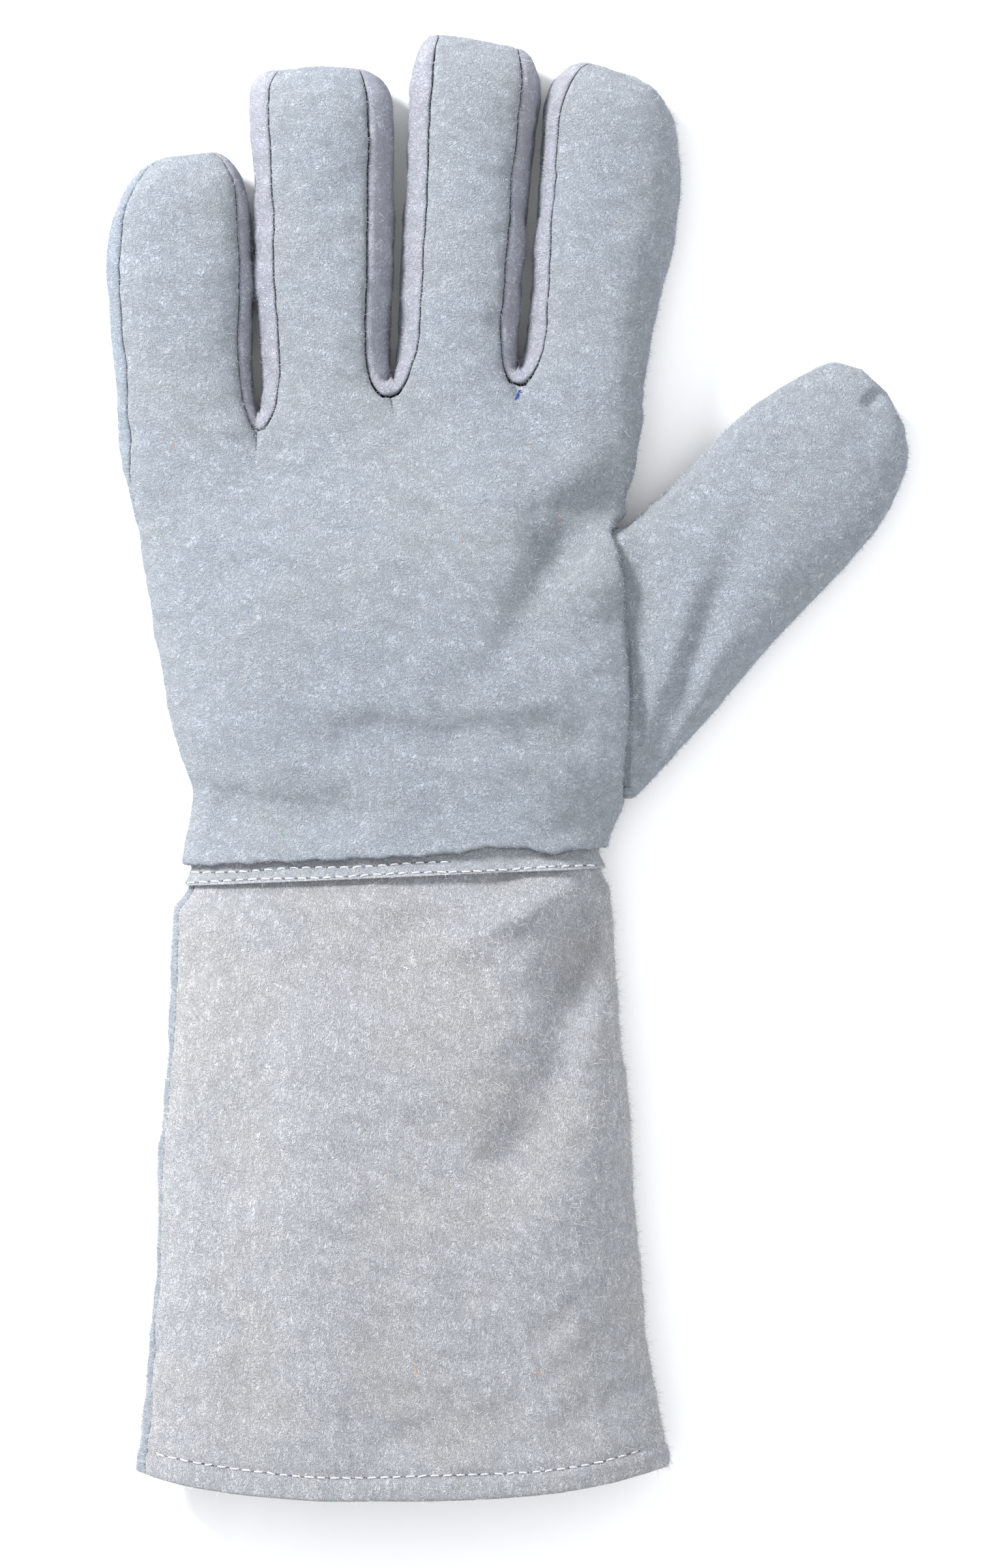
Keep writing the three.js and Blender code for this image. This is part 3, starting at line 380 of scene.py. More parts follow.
class Sheet:
    """A piece's outer surface as rows of points, and then the closed sheet of leather under it."""

    def __init__(self):
        self.points, self.faces, self.count = [], [], 0

    def add(self, points):
        points = np.asarray(points, float)
        ids = np.arange(self.count, self.count + len(points))
        self.points.append(points)
        self.count += len(points)
        return ids

    def grid(self, rows, closed=False, kept=None):
        """Faces between rows of points' numbers, where kept says so."""
        rows = np.array(rows)
        a, b = rows[:-1], rows[1:]
        if closed:
            faces = np.stack([a, b, np.roll(b, -1, 1), np.roll(a, -1, 1)], -1)
        else:
            faces = np.stack([a[:, :-1], b[:, :-1], b[:, 1:], a[:, 1:]], -1)
        self.faces.append(faces[kept] if kept is not None else faces.reshape(-1, 4))

    def fan(self, row, pole):
        faces = np.stack([row, np.full(len(row), pole), np.roll(row, -1), np.roll(row, -1)], -1)
        self.faces.append(faces)

    def build(self, name, wall, relief, lip):
        """The piece. lip gives how deep and how wide each point of an open edge rolls in."""
        points = np.concatenate(self.points)
        faces = np.concatenate(self.faces)
        used, faces = np.unique(faces, return_inverse=True)
        points, faces = points[used], faces.reshape(-1, 4)
        rim = open_edges(faces, len(points))
        border = np.unique(rim)
        normals = surface_normals(points, faces)
        tree = KDTree(len(border))
        for number, point in enumerate(points[border]):
            tree.insert(point, number)
        tree.balance()
        nearest = [tree.find(point)[1:] for point in points]
        closest = np.array([found[0] for found in nearest])
        distance = np.array([found[1] for found in nearest])
        deep, wide = (np.broadcast_to(value, len(border)) for value in lip(points[border]))
        groove = edge_roll(distance, wide[closest]) * np.where(deep[closest] > 0, 1, 0)
        raw = np.where(deep[closest] > 0, 0, np.exp(-((distance / 0.45) ** 2)))
        points = points + normals * (relief(points, normals) - groove * deep[closest])[:, None]
        points[:, 2] = np.maximum(points[:, 2], 0.02)
        again = surface_normals(points, faces)
        inner = points - again * np.broadcast_to(wall(points), len(points))[:, None]
        inner[:, 2] = np.maximum(inner[:, 2], 0.02)
        count = len(points)
        sides = np.stack([rim[:, 1], rim[:, 0], rim[:, 0] + count, rim[:, 1] + count], -1)
        all_faces = np.concatenate([faces, faces[:, ::-1] + count, sides])
        # groove also darkens the colour in the materials: painted shade in the seams' grooves and under the
        # rolled edges.
        masks = dict(groove=np.tile(groove, 2), raw=np.concatenate([raw, np.maximum(raw, 0.5)]))
        return make_mesh(name, np.concatenate([points, inner]), all_faces, masks)


def surface_normals(points, faces):
    diagonal_a = points[faces[:, 2]] - points[faces[:, 0]]
    diagonal_b = points[faces[:, 3]] - points[faces[:, 1]]
    flat = np.cross(diagonal_a, diagonal_b)
    total = np.zeros_like(points)
    for corner in range(4):
        np.add.at(total, faces[:, corner], flat)
    return total / np.maximum(np.linalg.norm(total, axis=1), 1e-12)[:, None]


def open_edges(faces, count):
    """The ends of the edges that only one face has."""
    starts = faces.ravel()
    ends = np.roll(faces, -1, 1).ravel()
    real = starts != ends
    starts, ends = starts[real], ends[real]
    there = starts.astype(np.int64) * count + ends
    back = ends.astype(np.int64) * count + starts
    alone = ~np.isin(there, back)
    return np.stack([starts[alone], ends[alone]], -1)


def to_scene(points):
    return (np.asarray(points, float) - (MIDDLE_X, MIDDLE_Y, 0)) * 0.001


def make_mesh(name, points, faces, masks=None):
    mesh = bpy.data.meshes.new(name)
    rings = [tuple(dict.fromkeys(face)) for face in faces.tolist()]
    mesh.from_pydata(to_scene(points).tolist(), [], [ring for ring in rings if len(ring) > 2])
    for key, values in (masks or {}).items():
        mask = mesh.attributes.new(key, "FLOAT", "POINT")
        mask.data.foreach_set("value", np.asarray(values, np.float32))
    mesh.validate()
    mesh.shade_smooth()
    obj = bpy.data.objects.new(name, mesh)
    bpy.context.collection.objects.link(obj)
    return obj


# Hand

def root_line():
    widths = np.array([finger["root"] * FINGER_WIDTH for finger in FINGERS])
    x = KNUCKLE_SHIFT + widths.sum() / 2 - np.concatenate([[0], np.cumsum(widths)])
    y = WRIST_Y + PALM_RISE - np.array(ROOT_DROPS) * FINGER_LENGTH
    return np.stack([x, y], -1)


ROOTS = root_line()


class FingerRow:
    """A finger's section, seams and place at a distance along it."""

    def __init__(self, index, distance):
        finger = FINGERS[index]
        length = finger["length"] * FINGER_LENGTH
        root, tip = finger["root"] * FINGER_WIDTH, finger["tip"] * FINGER_WIDTH
        thickness = finger["thickness"] * FINGER_THICKNESS
        self.to_end = to_end = length - distance
        way = distance / length
        half = lerp(root - FINGER_GAP, tip, smooth(way, 0, 0.85)) / 2
        self.half_root = root / 2
        self.notch = math.sqrt(1 - np.clip(1 - distance / FORK_NOTCH, 0, 1) ** 2)
        bow = math.sin(math.pi * np.clip(way, 0, 1))

        def reach(side):
            rounding = 1 - round_off(to_end, side["corner_long"] * FINGER_LENGTH)
            return half + side["swell"] * FINGER_WIDTH * bow - side["corner_wide"] * FINGER_WIDTH * rounding

        top = FINGER_LIFT + (thickness - FINGER_LIFT) * max(0.01, round_off(to_end, TIP_ROUND))
        floor = FINGER_LIFT - FINGER_LIFT * max(0.01, round_off(to_end, TIP_ROUND * 0.6))
        self.section = (reach(finger["left"]), reach(finger["right"]), top, FINGER_LIFT, floor)
        right, left = ROOTS[index], ROOTS[index + 1]
        lean = math.radians(finger["lean"])
        self.axis = np.array([math.sin(lean), math.cos(lean), 0])
        cross = np.array([self.axis[1], -self.axis[0], 0])
        side = np.append((right - left) / (2 * self.half_root), 0)
        ahead = cross + self.axis * finger["slant"] * FINGER_WIDTH / self.half_root
        self.side = lerp(side, ahead, smooth(way, 0, 0.5))
        self.base = np.append((right + left) / 2, 0) + self.axis * distance

        def turns(part):
            shrink = round_off(to_end, part["corner_long"] * FINGER_LENGTH) ** 0.8
            strip = part["strip"] * FINGER_WIDTH
            return (strip_turn(self.section[1], strip * shrink, TOP_ROUND),
                    strip_turn(self.section[1], REAR_STRIP * shrink, UNDER_ROUND))

        wrap = WRAP_TURN * round_off(to_end, finger["right"]["corner_long"] * FINGER_LENGTH) ** 2.2
        right_front, right_rear = turns(finger["right"])
        left_front, left_rear = turns(finger["left"])
        outer_right, outer_left = index == 0, index == len(FINGERS) - 1
        self.front_right = wrap if outer_right else right_front
        self.rear_right = wrap if outer_right else -right_rear
        self.front_left = 180 - left_front
        self.rear_left = -180 - left_front if outer_left else left_rear - 180
        self.open_right, self.open_left = not outer_right, not outer_left

    def points(self, turn, part):
        """Points at turns.

        part runs from -1 at the left edge to 1 at the right one, and says how far each point follows its
        edge, which swings out to the fork's end near the finger's root.
        """
        across, z, _, _ = oval(self.section, turn)
        is_open = np.where(part > 0, self.open_right, self.open_left)
        edge = np.where(part > 0, across[np.argmax(part)], across[np.argmin(part)])
        across = across + is_open * (1 - self.notch) * np.abs(part) * (np.sign(part) * self.half_root - edge)
        point = self.base + self.side * across[:, None]
        point[:, 2] = z + fold_height(point[:, 0], point[:, 1], z, self.section)
        return point


# The least distance between two rows of points, so that the relief never makes them cross
ROW_APART = 0.32


def apart(places, least):
    """Places in rising order, without those that come too close after the one before them."""
    chosen = [places[0]]
    for place in places[1:-1]:
        if place - chosen[-1] >= least and places[-1] - place >= least:
            chosen.append(place)
    return np.array(chosen + [places[-1]])


def finger_distances(index, step):
    finger = FINGERS[index]
    length = finger["length"] * FINGER_LENGTH
    zone = max(finger["left"]["corner_long"] * FINGER_LENGTH, finger["right"]["corner_long"] * FINGER_LENGTH,
               TIP_ROUND)
    root = FORK_NOTCH * (1 - np.cos(np.radians(np.linspace(0, 90, int(ROOT_ROWS / step)))))
    root = apart(root, ROW_APART)
    straight = np.linspace(FORK_NOTCH, length - zone, int((length - zone - FORK_NOTCH) / step) + 1)
    tip = length - zone * (1 - np.sin(np.radians(np.linspace(0, 90, int(TIP_ROWS / step)))))
    return np.concatenate([root, straight[1:-1], tip])


def edge_parts(columns):
    """How far each column of a finger follows the edges: fully in the lips, and less towards the middle."""
    away = np.linspace(-1, 1, columns)
    inner = np.clip(np.abs(away) / abs(away[len(LIP_STEPS)]), 0, 1)
    return signed_power(np.sign(away) * inner, 1.5) + np.sign(away) * 1e-6 * np.abs(away)


def panel_row(index, distance, rear, columns):
    row = FingerRow(index, distance)
    ends = (row.rear_left, row.rear_right) if rear else (row.front_right, row.front_left)
    turns = patch_turns(row.section, *ends, columns)
    part = edge_parts(columns) * (1 if rear else -1)
    point = row.points(turns, part)
    if row.to_end < 0.01:
        point[:, 2] += (-1 if rear else 1) * SEAM_GAP / 2
    return point


class Around:
    """The way around the palm of a panel's section, from one turn to another: turns at shares of it."""

    def __init__(self, start, end):
        self.ys = np.linspace(WRIST_Y - 8, WRIST_Y + PALM_RISE + 3, TABLE_ROWS)
        at = (self.ys - WRIST_Y) / PALM_RISE
        self.turns, self.length = [], []
        self.tables = []
        for y, first, last in zip(self.ys, start(at), end(at)):
            turns, length = arc_table(hand_section(y), first, last, ARC_STEPS)
            self.tables.append((turns, length))
            self.turns.append(np.interp(np.linspace(0, length[-1], SHARE_STEPS), length, turns))
            self.length.append(length[-1])
        self.turns, self.length = np.array(self.turns), np.array(self.length)

    def turn(self, y, share):
        row = np.clip((y - self.ys[0]) / (self.ys[1] - self.ys[0]), 0, len(self.ys) - 1.001)
        place = np.clip(share, 0, 1) * (SHARE_STEPS - 1)
        r, p = row.astype(int), np.minimum(place.astype(int), SHARE_STEPS - 2)
        row, place = row - r, place - p
        low = lerp(self.turns[r, p], self.turns[r, p + 1], place)
        high = lerp(self.turns[r + 1, p], self.turns[r + 1, p + 1], place)
        return lerp(low, high, row)

    def size(self, y):
        return np.interp(y, self.ys, self.length)

    def edge(self, turn):
        """The share at which a turn lies, for each of the heights ys."""
        at = (self.ys - WRIST_Y) / PALM_RISE
        wanted = turn(at)
        return np.array([np.interp(w, turns, length) / length[-1]
                         for w, (turns, length) in zip(wanted, self.tables)])


def wrist_edge(x):
    """The hand's lower edge, which is cut by hand and so not quite straight."""
    uneven = 1.3 * np.exp(-(((x - 25) / 9) ** 2)) - 0.9 * np.exp(-(((x - 39) / 4) ** 2))
    ripple = 0.2 * np.sin(x * 0.62 + 0.4) + 0.12 * np.sin(x * 1.37 + 1) + 0.07 * np.sin(x * 3.1)
    return WRIST_Y + EDGE_SLANT * x + uneven + ripple


def spread(count, place, gain, width):
    """Even shares from 0 to 1, but closer together around one place."""
    fine = np.linspace(0, 1, 2000)
    density = 1 + gain * np.exp(-(((fine - place) / width) ** 2))
    total = np.concatenate([[0], np.cumsum((density[1:] + density[:-1]) / 2)])
    return np.interp(np.linspace(0, total[-1], count), total, fine)


def blurred(values, steps, width):
    """Values along a line, averaged over their neighbours within about a width."""
    place = np.concatenate([[0], np.cumsum(steps)])
    weight = np.exp(-(((place[:, None] - place[None]) / width) ** 2))
    spacing = np.gradient(place)
    weight = weight * spacing[None]
    return weight @ values / weight.sum(1)


def hand_panel(rear):
    sheet = Sheet()
    columns = REAR_COLUMNS if rear else FRONT_COLUMNS
    step = REAR_STEP if rear else FRONT_STEP
    order = [3, 2, 1, 0] if rear else [0, 1, 2, 3]
    roots = [panel_row(index, 0, rear, columns) for index in order]
    root = roots[0]
    for row in roots[1:]:
        root = np.concatenate([root[:-1], [(root[-1] + row[0]) / 2], row[1:]])
    count = len(root)

    def left_end(at):
        return column(LEFT_SEAM, 1, at)

    if rear:
        around = Around(lambda at: -180 - left_end(at), lambda at: column(REAR_RIGHT_END, 1, at))
        trim = np.zeros(len(around.ys))
    else:
        around = Around(lambda at: np.full(len(at), WRAP_TURN), lambda at: 180 - left_end(at))
        trim = around.edge(lambda at: column(FRONT_RIGHT_END, 1, at))

    steps = np.hypot(np.diff(root[:, 0]), np.diff(root[:, 2]))
    root_share = np.concatenate([[0], np.cumsum(steps)]) / steps.sum()
    thumb_share = np.interp(WRIST_Y + 0.45 * PALM_RISE, around.ys, trim)
    even_share = np.linspace(0, 1, count) if rear else spread(count, thumb_share, 1.4, 0.03)
    soft_z = blurred(root[:, 2], steps, 7.0)
    # The panels meet at their ends, so nothing is averaged there
    place = root_share * steps.sum()
    soft_z = lerp(root[:, 2], soft_z, smooth(np.minimum(place, place[-1] - place), 2.0, 12.0))

    fine = [0.0, 0.004, 0.009, 0.015] if not rear else [0.0, 0.012]
    last = 1 - np.array([0.024, 0.016, 0.009, 0.004])
    ups = np.concatenate([fine, np.arange(0.024, 0.97, PALM_ROW_STEP * step), last])
    if not rear:
        ups = np.concatenate([ups, np.arange(0.7, 0.765, 0.0035), np.arange(0.098, 0.14, 0.0035)])
    ups = apart(np.unique(np.round(np.append(ups, 1.0), 4)), ROW_APART / PALM_RISE)[:-1]
    wrist_share = lerp(root_share, even_share, 0.85)
    at_wrist = np.full(count, WRIST_Y)
    wrist_x = oval(hand_section(at_wrist), around.turn(at_wrist, wrist_share))[0]
    low = wrist_edge(wrist_x)

    w = (1 - ups)[:, None] * np.ones(count)
    ys = lerp(root[:, 1], low, w)
    share = lerp(root_share, even_share, 0.85 * smooth(w, 0, 0.45))
    edge = SEAM_GAP / 2 + LIP_STEPS * LIP_WIDTH
    lips = len(edge)
    size = around.size(ys)
    number = np.arange(count)
    share = np.maximum(share, (edge[-1] + 0.25 * (number - lips + 1)) / size)
    share = np.minimum(share, 1 - (edge[-1] + 0.25 * (count - lips - number)) / size)
    for k in range(lips):
        share[:, k] = edge[k] / size[:, k]
        share[:, count - 1 - k] = 1 - edge[k] / size[:, count - 1 - k]

    def surface(y, share, w, c):
        section = hand_section(y)
        across, z, _, _ = oval(section, around.turn(y, share))
        z = z + fold_height(across, y, z, section)
        top_z = lerp(root[c, 2], soft_z[c], smooth(w, 0, 0.06))
        return np.stack([lerp(root[c, 0], across, smooth(w, 0, 0.16)), y,
                         lerp(top_z, z, smooth(w, 0, 0.3))], -1)

    # The front ends over the thumb: what lies past its edge is cut off, and the nearest points move to it
    limit = np.interp(ys, around.ys, trim)
    limit = np.where(w < 0.2, -1, limit)
    inside = share >= limit
    snapped = np.zeros_like(inside)
    if not rear:
        beside = np.zeros_like(inside)
        beside[:, :-1] = inside[:, 1:] & ~inside[:, :-1]
        gap_beside = np.where(beside, (limit - share) * size, np.inf)
        y_new, gap_along = ys.copy(), np.full(ys.shape, np.inf)
        for other in (-1, 1):
            near_inside = np.zeros_like(inside)
            near_y, near_over = np.zeros_like(ys), np.zeros_like(ys)
            if other > 0:
                near_inside[:-1] = inside[1:]
                near_y[:-1], near_over[:-1] = ys[1:], (share - limit)[1:]
            else:
                near_inside[1:] = inside[:-1]
                near_y[1:], near_over[1:] = ys[:-1], (share - limit)[:-1]
            usable = near_inside & ~inside
            over = limit - share
            t = np.where(usable, over / np.maximum(over + near_over, 1e-9), 0)
            gap = np.where(usable, t * np.abs(near_y - ys), np.inf)
            better = gap < gap_along
            gap_along = np.where(better, gap, gap_along)
            y_new = np.where(better, lerp(ys, near_y, t), y_new)
        move_beside = beside & (gap_beside <= gap_along)
        move_along = ~inside & ~move_beside & np.isfinite(gap_along)
        share = np.where(move_beside, limit, share)
        ys = np.where(move_along, y_new, ys)
        snapped = move_beside | move_along
    kept = inside | snapped
    faces_kept = kept[:-1, :-1] & kept[1:, :-1] & kept[1:, 1:] & kept[:-1, 1:]
    palm = surface(ys, share, w, np.broadcast_to(number, ys.shape))
    rows = [sheet.add(row) for row in palm]
    root_ids = sheet.add(root)
    faces_kept = np.concatenate([faces_kept, np.ones((1, count - 1), bool)])[: len(rows)]
    sheet.grid(rows + [root_ids], kept=faces_kept)
    start = 0
    for index in order:
        finger_rows = [sheet.add(panel_row(index, distance, rear, columns))
                       for distance in finger_distances(index, step)[1:]]
        sheet.grid([root_ids[start:start + columns]] + finger_rows)
        start += columns - 1
    return sheet


# How far before the fingertip a side strip ends, where the two panels close over it
STRIP_END = 0.03


def fork(index):
    """The strip of leather between two fingers: down one of them to the root, and up the other."""
    sheet = Sheet()

    def leg(finger, is_left):
        rows = []
        distances = finger_distances(finger, FRONT_STEP)
        distances = distances[distances < distances[-1] - STRIP_END]
        for distance in distances:
            row = FingerRow(finger, distance)
            if is_left:
                start, end = row.rear_left + 360, row.front_left
            else:
                start, end = row.rear_right, row.front_right
            turns = patch_turns(row.section, start, end, FORK_COLUMNS)
            across, z, _, _ = oval(row.section, turns)
            side = -1 if is_left else 1
            across = lerp(across, side * row.half_root, 1 - row.notch)
            point = row.base + row.side * across[:, None]
            point[:, 2] = z + fold_height(point[:, 0], point[:, 1], z, row.section)
            v = np.linspace(-1, 1, FORK_COLUMNS)
            point[:, 1] += (SEAM_GAP + FORK_RISE * (1 - v * v)) * (1 - row.notch)
            rows.append(point)
        return rows

    right, left = leg(index, True), leg(index + 1, False)
    rows = right[:0:-1] + [(right[0] + left[0]) / 2] + left[1:]
    sheet.grid([sheet.add(row) for row in rows])
    return sheet


# Thumb

def thumb():
    sheet = Sheet()
    angle = math.radians(THUMB_ANGLE)
    axis = np.array([math.cos(angle), math.sin(angle), 0])
    up = np.array([-axis[1], axis[0], 0])
    origin = np.array([THUMB_X, THUMB_Y, 0])

    def put(along, out):
        return origin + axis * along * THUMB_LENGTH + up * out * THUMB_WIDTH

    turns = np.linspace(0, 360, THUMB_AROUND, endpoint=False)
    knots = np.arange(len(THUMB_ROWS))
    table = np.column_stack([knots, THUMB_ROWS])
    places = np.concatenate([np.linspace(0, 7, 110)[:-1], np.linspace(7, len(THUMB_ROWS) - 1, 28)])
    rows = []
    for place in places:
        up_along, up_out, low_along, low_out, thick, low = (column(table, k, place) for k in range(1, 7))
        upper, lower = put(up_along, up_out), put(low_along, low_out)
        across_way = lower - upper
        half = np.linalg.norm(across_way) / 2
        across_way /= 2 * half
        top = THUMB_LIFT + (THUMB_THICKNESS - THUMB_LIFT) * thick
        section = (half, half, top, THUMB_LIFT, low * THUMB_THICKNESS)
        across, z, _, _ = oval(section, turns)
        point = (upper + lower) / 2 + across_way * across[:, None]
        point[:, 2] = under_palm(point[:, 0], point[:, 1], z)
        point[:, 2] += thumb_folds(point[:, 0], point[:, 1], z, top)
        rows.append(sheet.add(point))
    tip = put(*THUMB_TIP)
    tip[2] = THUMB_LIFT
    sheet.grid(rows, closed=True)
    sheet.fan(rows[-1], sheet.add([tip])[0])
    return sheet


def palm_edge():
    """The palm's edge over the thumb's root, as x and height at heights along the palm."""
    y = np.linspace(WRIST_Y + 0.13 * PALM_RISE, WRIST_Y + 0.72 * PALM_RISE, 80)
    section = hand_section(y)
    turn = column(FRONT_RIGHT_END, 1, (y - WRIST_Y) / PALM_RISE)
    across, z, _, _ = oval(section, turn)
    return y, across, z + fold_height(across, y, z, section)


def under_palm(x, y, z):
    """Brings the thumb's upper side close under the palm's edge, beside which it begins."""
    edge_y, edge_x, edge_z = palm_edge()
    beside = x - np.interp(y, edge_y, edge_x)
    target = np.interp(y, edge_y, edge_z) - THUMB_DROP
    near = smooth(y, edge_y[0] - 4, edge_y[0] + 8) * (1 - smooth(y, edge_y[-1] - 3, edge_y[-1] + 8))
    weight = (1 - smooth(beside, 2.0, THUMB_BLEND)) * smooth(beside, -9, -1) * near
    weight = weight * smooth(z, THUMB_LIFT, 17)
    raised = lerp(z, np.maximum(z, target), weight)
    ceiling = target + 40 * smooth(beside, 0.2, 3.0)
    lowered = np.minimum(raised, np.maximum(ceiling, THUMB_LIFT))
    return np.where((near > 0.5) & (z > THUMB_LIFT), lowered, raised)


THUMB_DROP = 2.7
THUMB_BLEND = 16.0

# The thumb's creases and ridges in the glove's frame: x, y, to_x, to_y, wide, deep
THUMB_FOLDS = [
    (84.0, 231.0, 79.0, 217.0, 4.2, -1.4), (79.0, 217.0, 73.5, 203.0, 3.8, -2.3),
    (73.5, 203.0, 68.3, 190.3, 3.6, -2.6), (68.3, 190.3, 63.5, 178.0, 3.4, -2.4),
    (70.0, 214.0, 66.5, 196.0, 4.0, 0.7), (80.0, 205.0, 75.0, 193.0, 4.0, 0.8),
    (60.5, 196.0, 60.0, 180.0, 2.2, -0.9), (114.5, 261.5, 118.5, 265.5, 1.8, -1.8),
    (108.0, 262.0, 113.0, 258.0, 3.5, -0.5)]


def thumb_folds(x, y, z, top):
    return crease_sum(THUMB_FOLDS, x, y) * smooth(z, THUMB_LIFT, lerp(THUMB_LIFT, top, 0.6))


# Wrist band and cuff

def loop_point(section_at, flat_y, height_at, turn):
    """Points of a loop of the wrist or the cuff."""
    middle = section_at(flat_y, flat_y)
    across = oval(middle, turn)[0]
    y = height_at(across)
    own = section_at(y, flat_y)
    across, z, _, _ = oval(own, turn)
    z = z + fold_height(across, y, z, own)
    return np.stack([across, y, z], -1)


def wrist_band():
    sheet = Sheet()
    turns = np.linspace(0, 360, 300, endpoint=False)
    rows = []
    for part in np.concatenate([[0, 0.02, 0.05], np.linspace(0.09, 1, 14)]):
        flat_y = WRIST_Y - BAND_SHOWN + part * BAND_WIDTH
        rows.append(sheet.add(loop_point(band_section, flat_y, lambda x: flat_y + EDGE_SLANT * x, turns)))
    sheet.grid(rows, closed=True)
    return sheet


CUFF_SEAM_LEFT = 13.0
CUFF_SEAM_RIGHT = -12.0


def mouth(x):
    return MOUTH_BOW * np.abs(x / (CUFF_MOUTH_WIDTH / 2)) ** 2.6


def cuff_height(up, x):
    return lerp(mouth(x), CUFF_LENGTH + EDGE_SLANT * x, up)


def cuff_panel(rear):
    sheet = Sheet()
    columns = 90 if rear else 190
    step = 2.0 if rear else 1.0
    fine = [0, 0.0012, 0.003, 0.006, 0.0095]
    ups = np.concatenate([fine, np.arange(0.014, 0.9, 0.0062 * step), np.arange(0.9, 1.0, 0.005), [1.0]])
    rows = []
    for up in ups:
        flat_y = up * CUFF_LENGTH
        middle = cuff_section(flat_y, flat_y)
        ends = (-180 - CUFF_SEAM_LEFT, CUFF_SEAM_RIGHT) if rear else (CUFF_SEAM_RIGHT, 180 - CUFF_SEAM_LEFT)
        turns = patch_turns(middle, *ends, columns)
        rows.append(sheet.add(loop_point(cuff_section, flat_y, lambda x: cuff_height(up, x), turns)))
    sheet.grid(rows)
    return sheet


# Lips: how deep and how wide the open edges of each piece roll in

def near_tip(points):
    """1 at the fingertips, where the seams close, and 0 a few millimetres below them."""
    near = np.zeros(len(points))
    for index, finger in enumerate(FINGERS):
        row = FingerRow(index, 0.0)
        length = finger["length"] * FINGER_LENGTH
        along = (points - row.base) @ row.axis
        across = np.abs((points - row.base) @ np.array([row.axis[1], -row.axis[0], 0]))
        close = smooth(along, length - 7.0, length - 2.0)
        near = np.maximum(near, np.where(across < 0.62 * FINGER_WIDTH, close, 0))
    return near


# How deep the hand's cut edge bends down onto the wrist band
WRIST_ROLL = 1.0
WRIST_ROLL_WIDTH = 1.3
# The palm's folded edge over the thumb
THUMB_EDGE_LIP = 1.5
THUMB_EDGE_WIDTH = 2.4
# How much of a seam's lip is gone at the fingertips
TIP_CLOSED = 0.88


def hand_lip(points):
    above = points[:, 1] - WRIST_Y - EDGE_SLANT * points[:, 0]
    over_thumb = (points[:, 0] > 40) & (points[:, 2] > 15) & (above < 0.73 * PALM_RISE)
    at_wrist = 1 - smooth(above, 2.0, 5.0)
    deep = lerp(np.where(over_thumb, THUMB_EDGE_LIP, SEAM_LIP), WRIST_ROLL, at_wrist)
    wide = lerp(np.where(over_thumb, THUMB_EDGE_WIDTH, LIP_WIDTH), WRIST_ROLL_WIDTH, at_wrist)
    return deep * (1 - TIP_CLOSED * near_tip(points)), wide


def strip_lip(points):
    return SEAM_LIP * (1 - TIP_CLOSED * near_tip(points)), LIP_WIDTH


def no_lip(points):
    return 0.0, LIP_WIDTH


def cuff_lip(points):
    hem = points[:, 1] < mouth(points[:, 0]) + 0.5
    under_band = points[:, 1] > WRIST_Y - 1
    return np.where(hem, 0.55, np.where(under_band, 0.0, SEAM_LIP)), np.where(hem, 1.0, LIP_WIDTH)


# Relief: how far each piece's surface swells out or sinks in, along the direction out of it

def uneven(points, normals):
    total = np.zeros(len(points))
    for length, deep, seed in UNEVEN:
        total += deep * waves(points, length, seed)
    free = smooth(points[:, 2], 2.0, 9.0)
    return total * lerp(0.25, 1.0, free)


# The groove that the hem's stitches pull, and how far the folded hem swells below it
HEM_GROOVE = 0.42
HEM_GROOVE_WIDTH = 0.7
HEM_PUFF = 0.25
HEM_LAYERS = 1.7


def cuff_relief(points, normals):
    x, y = points[:, 0], points[:, 1]
    total = uneven(points, normals)
    hem_line = y - mouth(x) - HEM_WIDTH
    total -= HEM_GROOVE * np.exp(-((hem_line / HEM_GROOVE_WIDTH) ** 2))
    total += HEM_PUFF * smooth(-hem_line, 0.4, 1.6)
    total += crease_sum(CUFF_CREASES, x, y) * smooth(points[:, 2], 14.0, 24.0)
    foot = y - (WRIST_Y - BAND_SHOWN + EDGE_SLANT * x)
    return total * lerp(0.15, 1.0, 1 - smooth(foot, -5.0, -0.5))


def hand_relief(points, normals):
    above = points[:, 1] - WRIST_Y - EDGE_SLANT * points[:, 0]
    x = points[:, 0]
    curl = (0.3 + 0.2 * np.sin(x * 0.31 + 0.6)) * np.exp(-((above / 2.2) ** 2))
    creases = crease_sum(HAND_CREASES, x, points[:, 1]) * smooth(points[:, 2], 14.0, 22.0)
    return (uneven(points, normals) + creases) * lerp(0.3, 1.0, smooth(above, 1.0, 10.0)) + curl


def thumb_relief(points, normals):
    return 0.7 * uneven(points, normals) * smooth(points[:, 0], 55.0, 64.0)


def band_relief(points, normals):
    return uneven(points, normals) * 0.12


def hem_wall(points):
    inside = points[:, 1] < mouth(points[:, 0]) + HEM_WIDTH
    return np.where(inside, HEM_LAYERS * LEATHER, LEATHER)


def even_wall(points):
    return np.full(len(points), LEATHER)


def band_wall(points):
    return np.full(len(points), BAND_LEATHER)


# Materials

def srgb(r, g, b):
    def linear(value):
        value /= 255
        return value / 12.92 if value <= 0.04045 else ((value + 0.055) / 1.055) ** 2.4
    return linear(r), linear(g), linear(b), 1.0


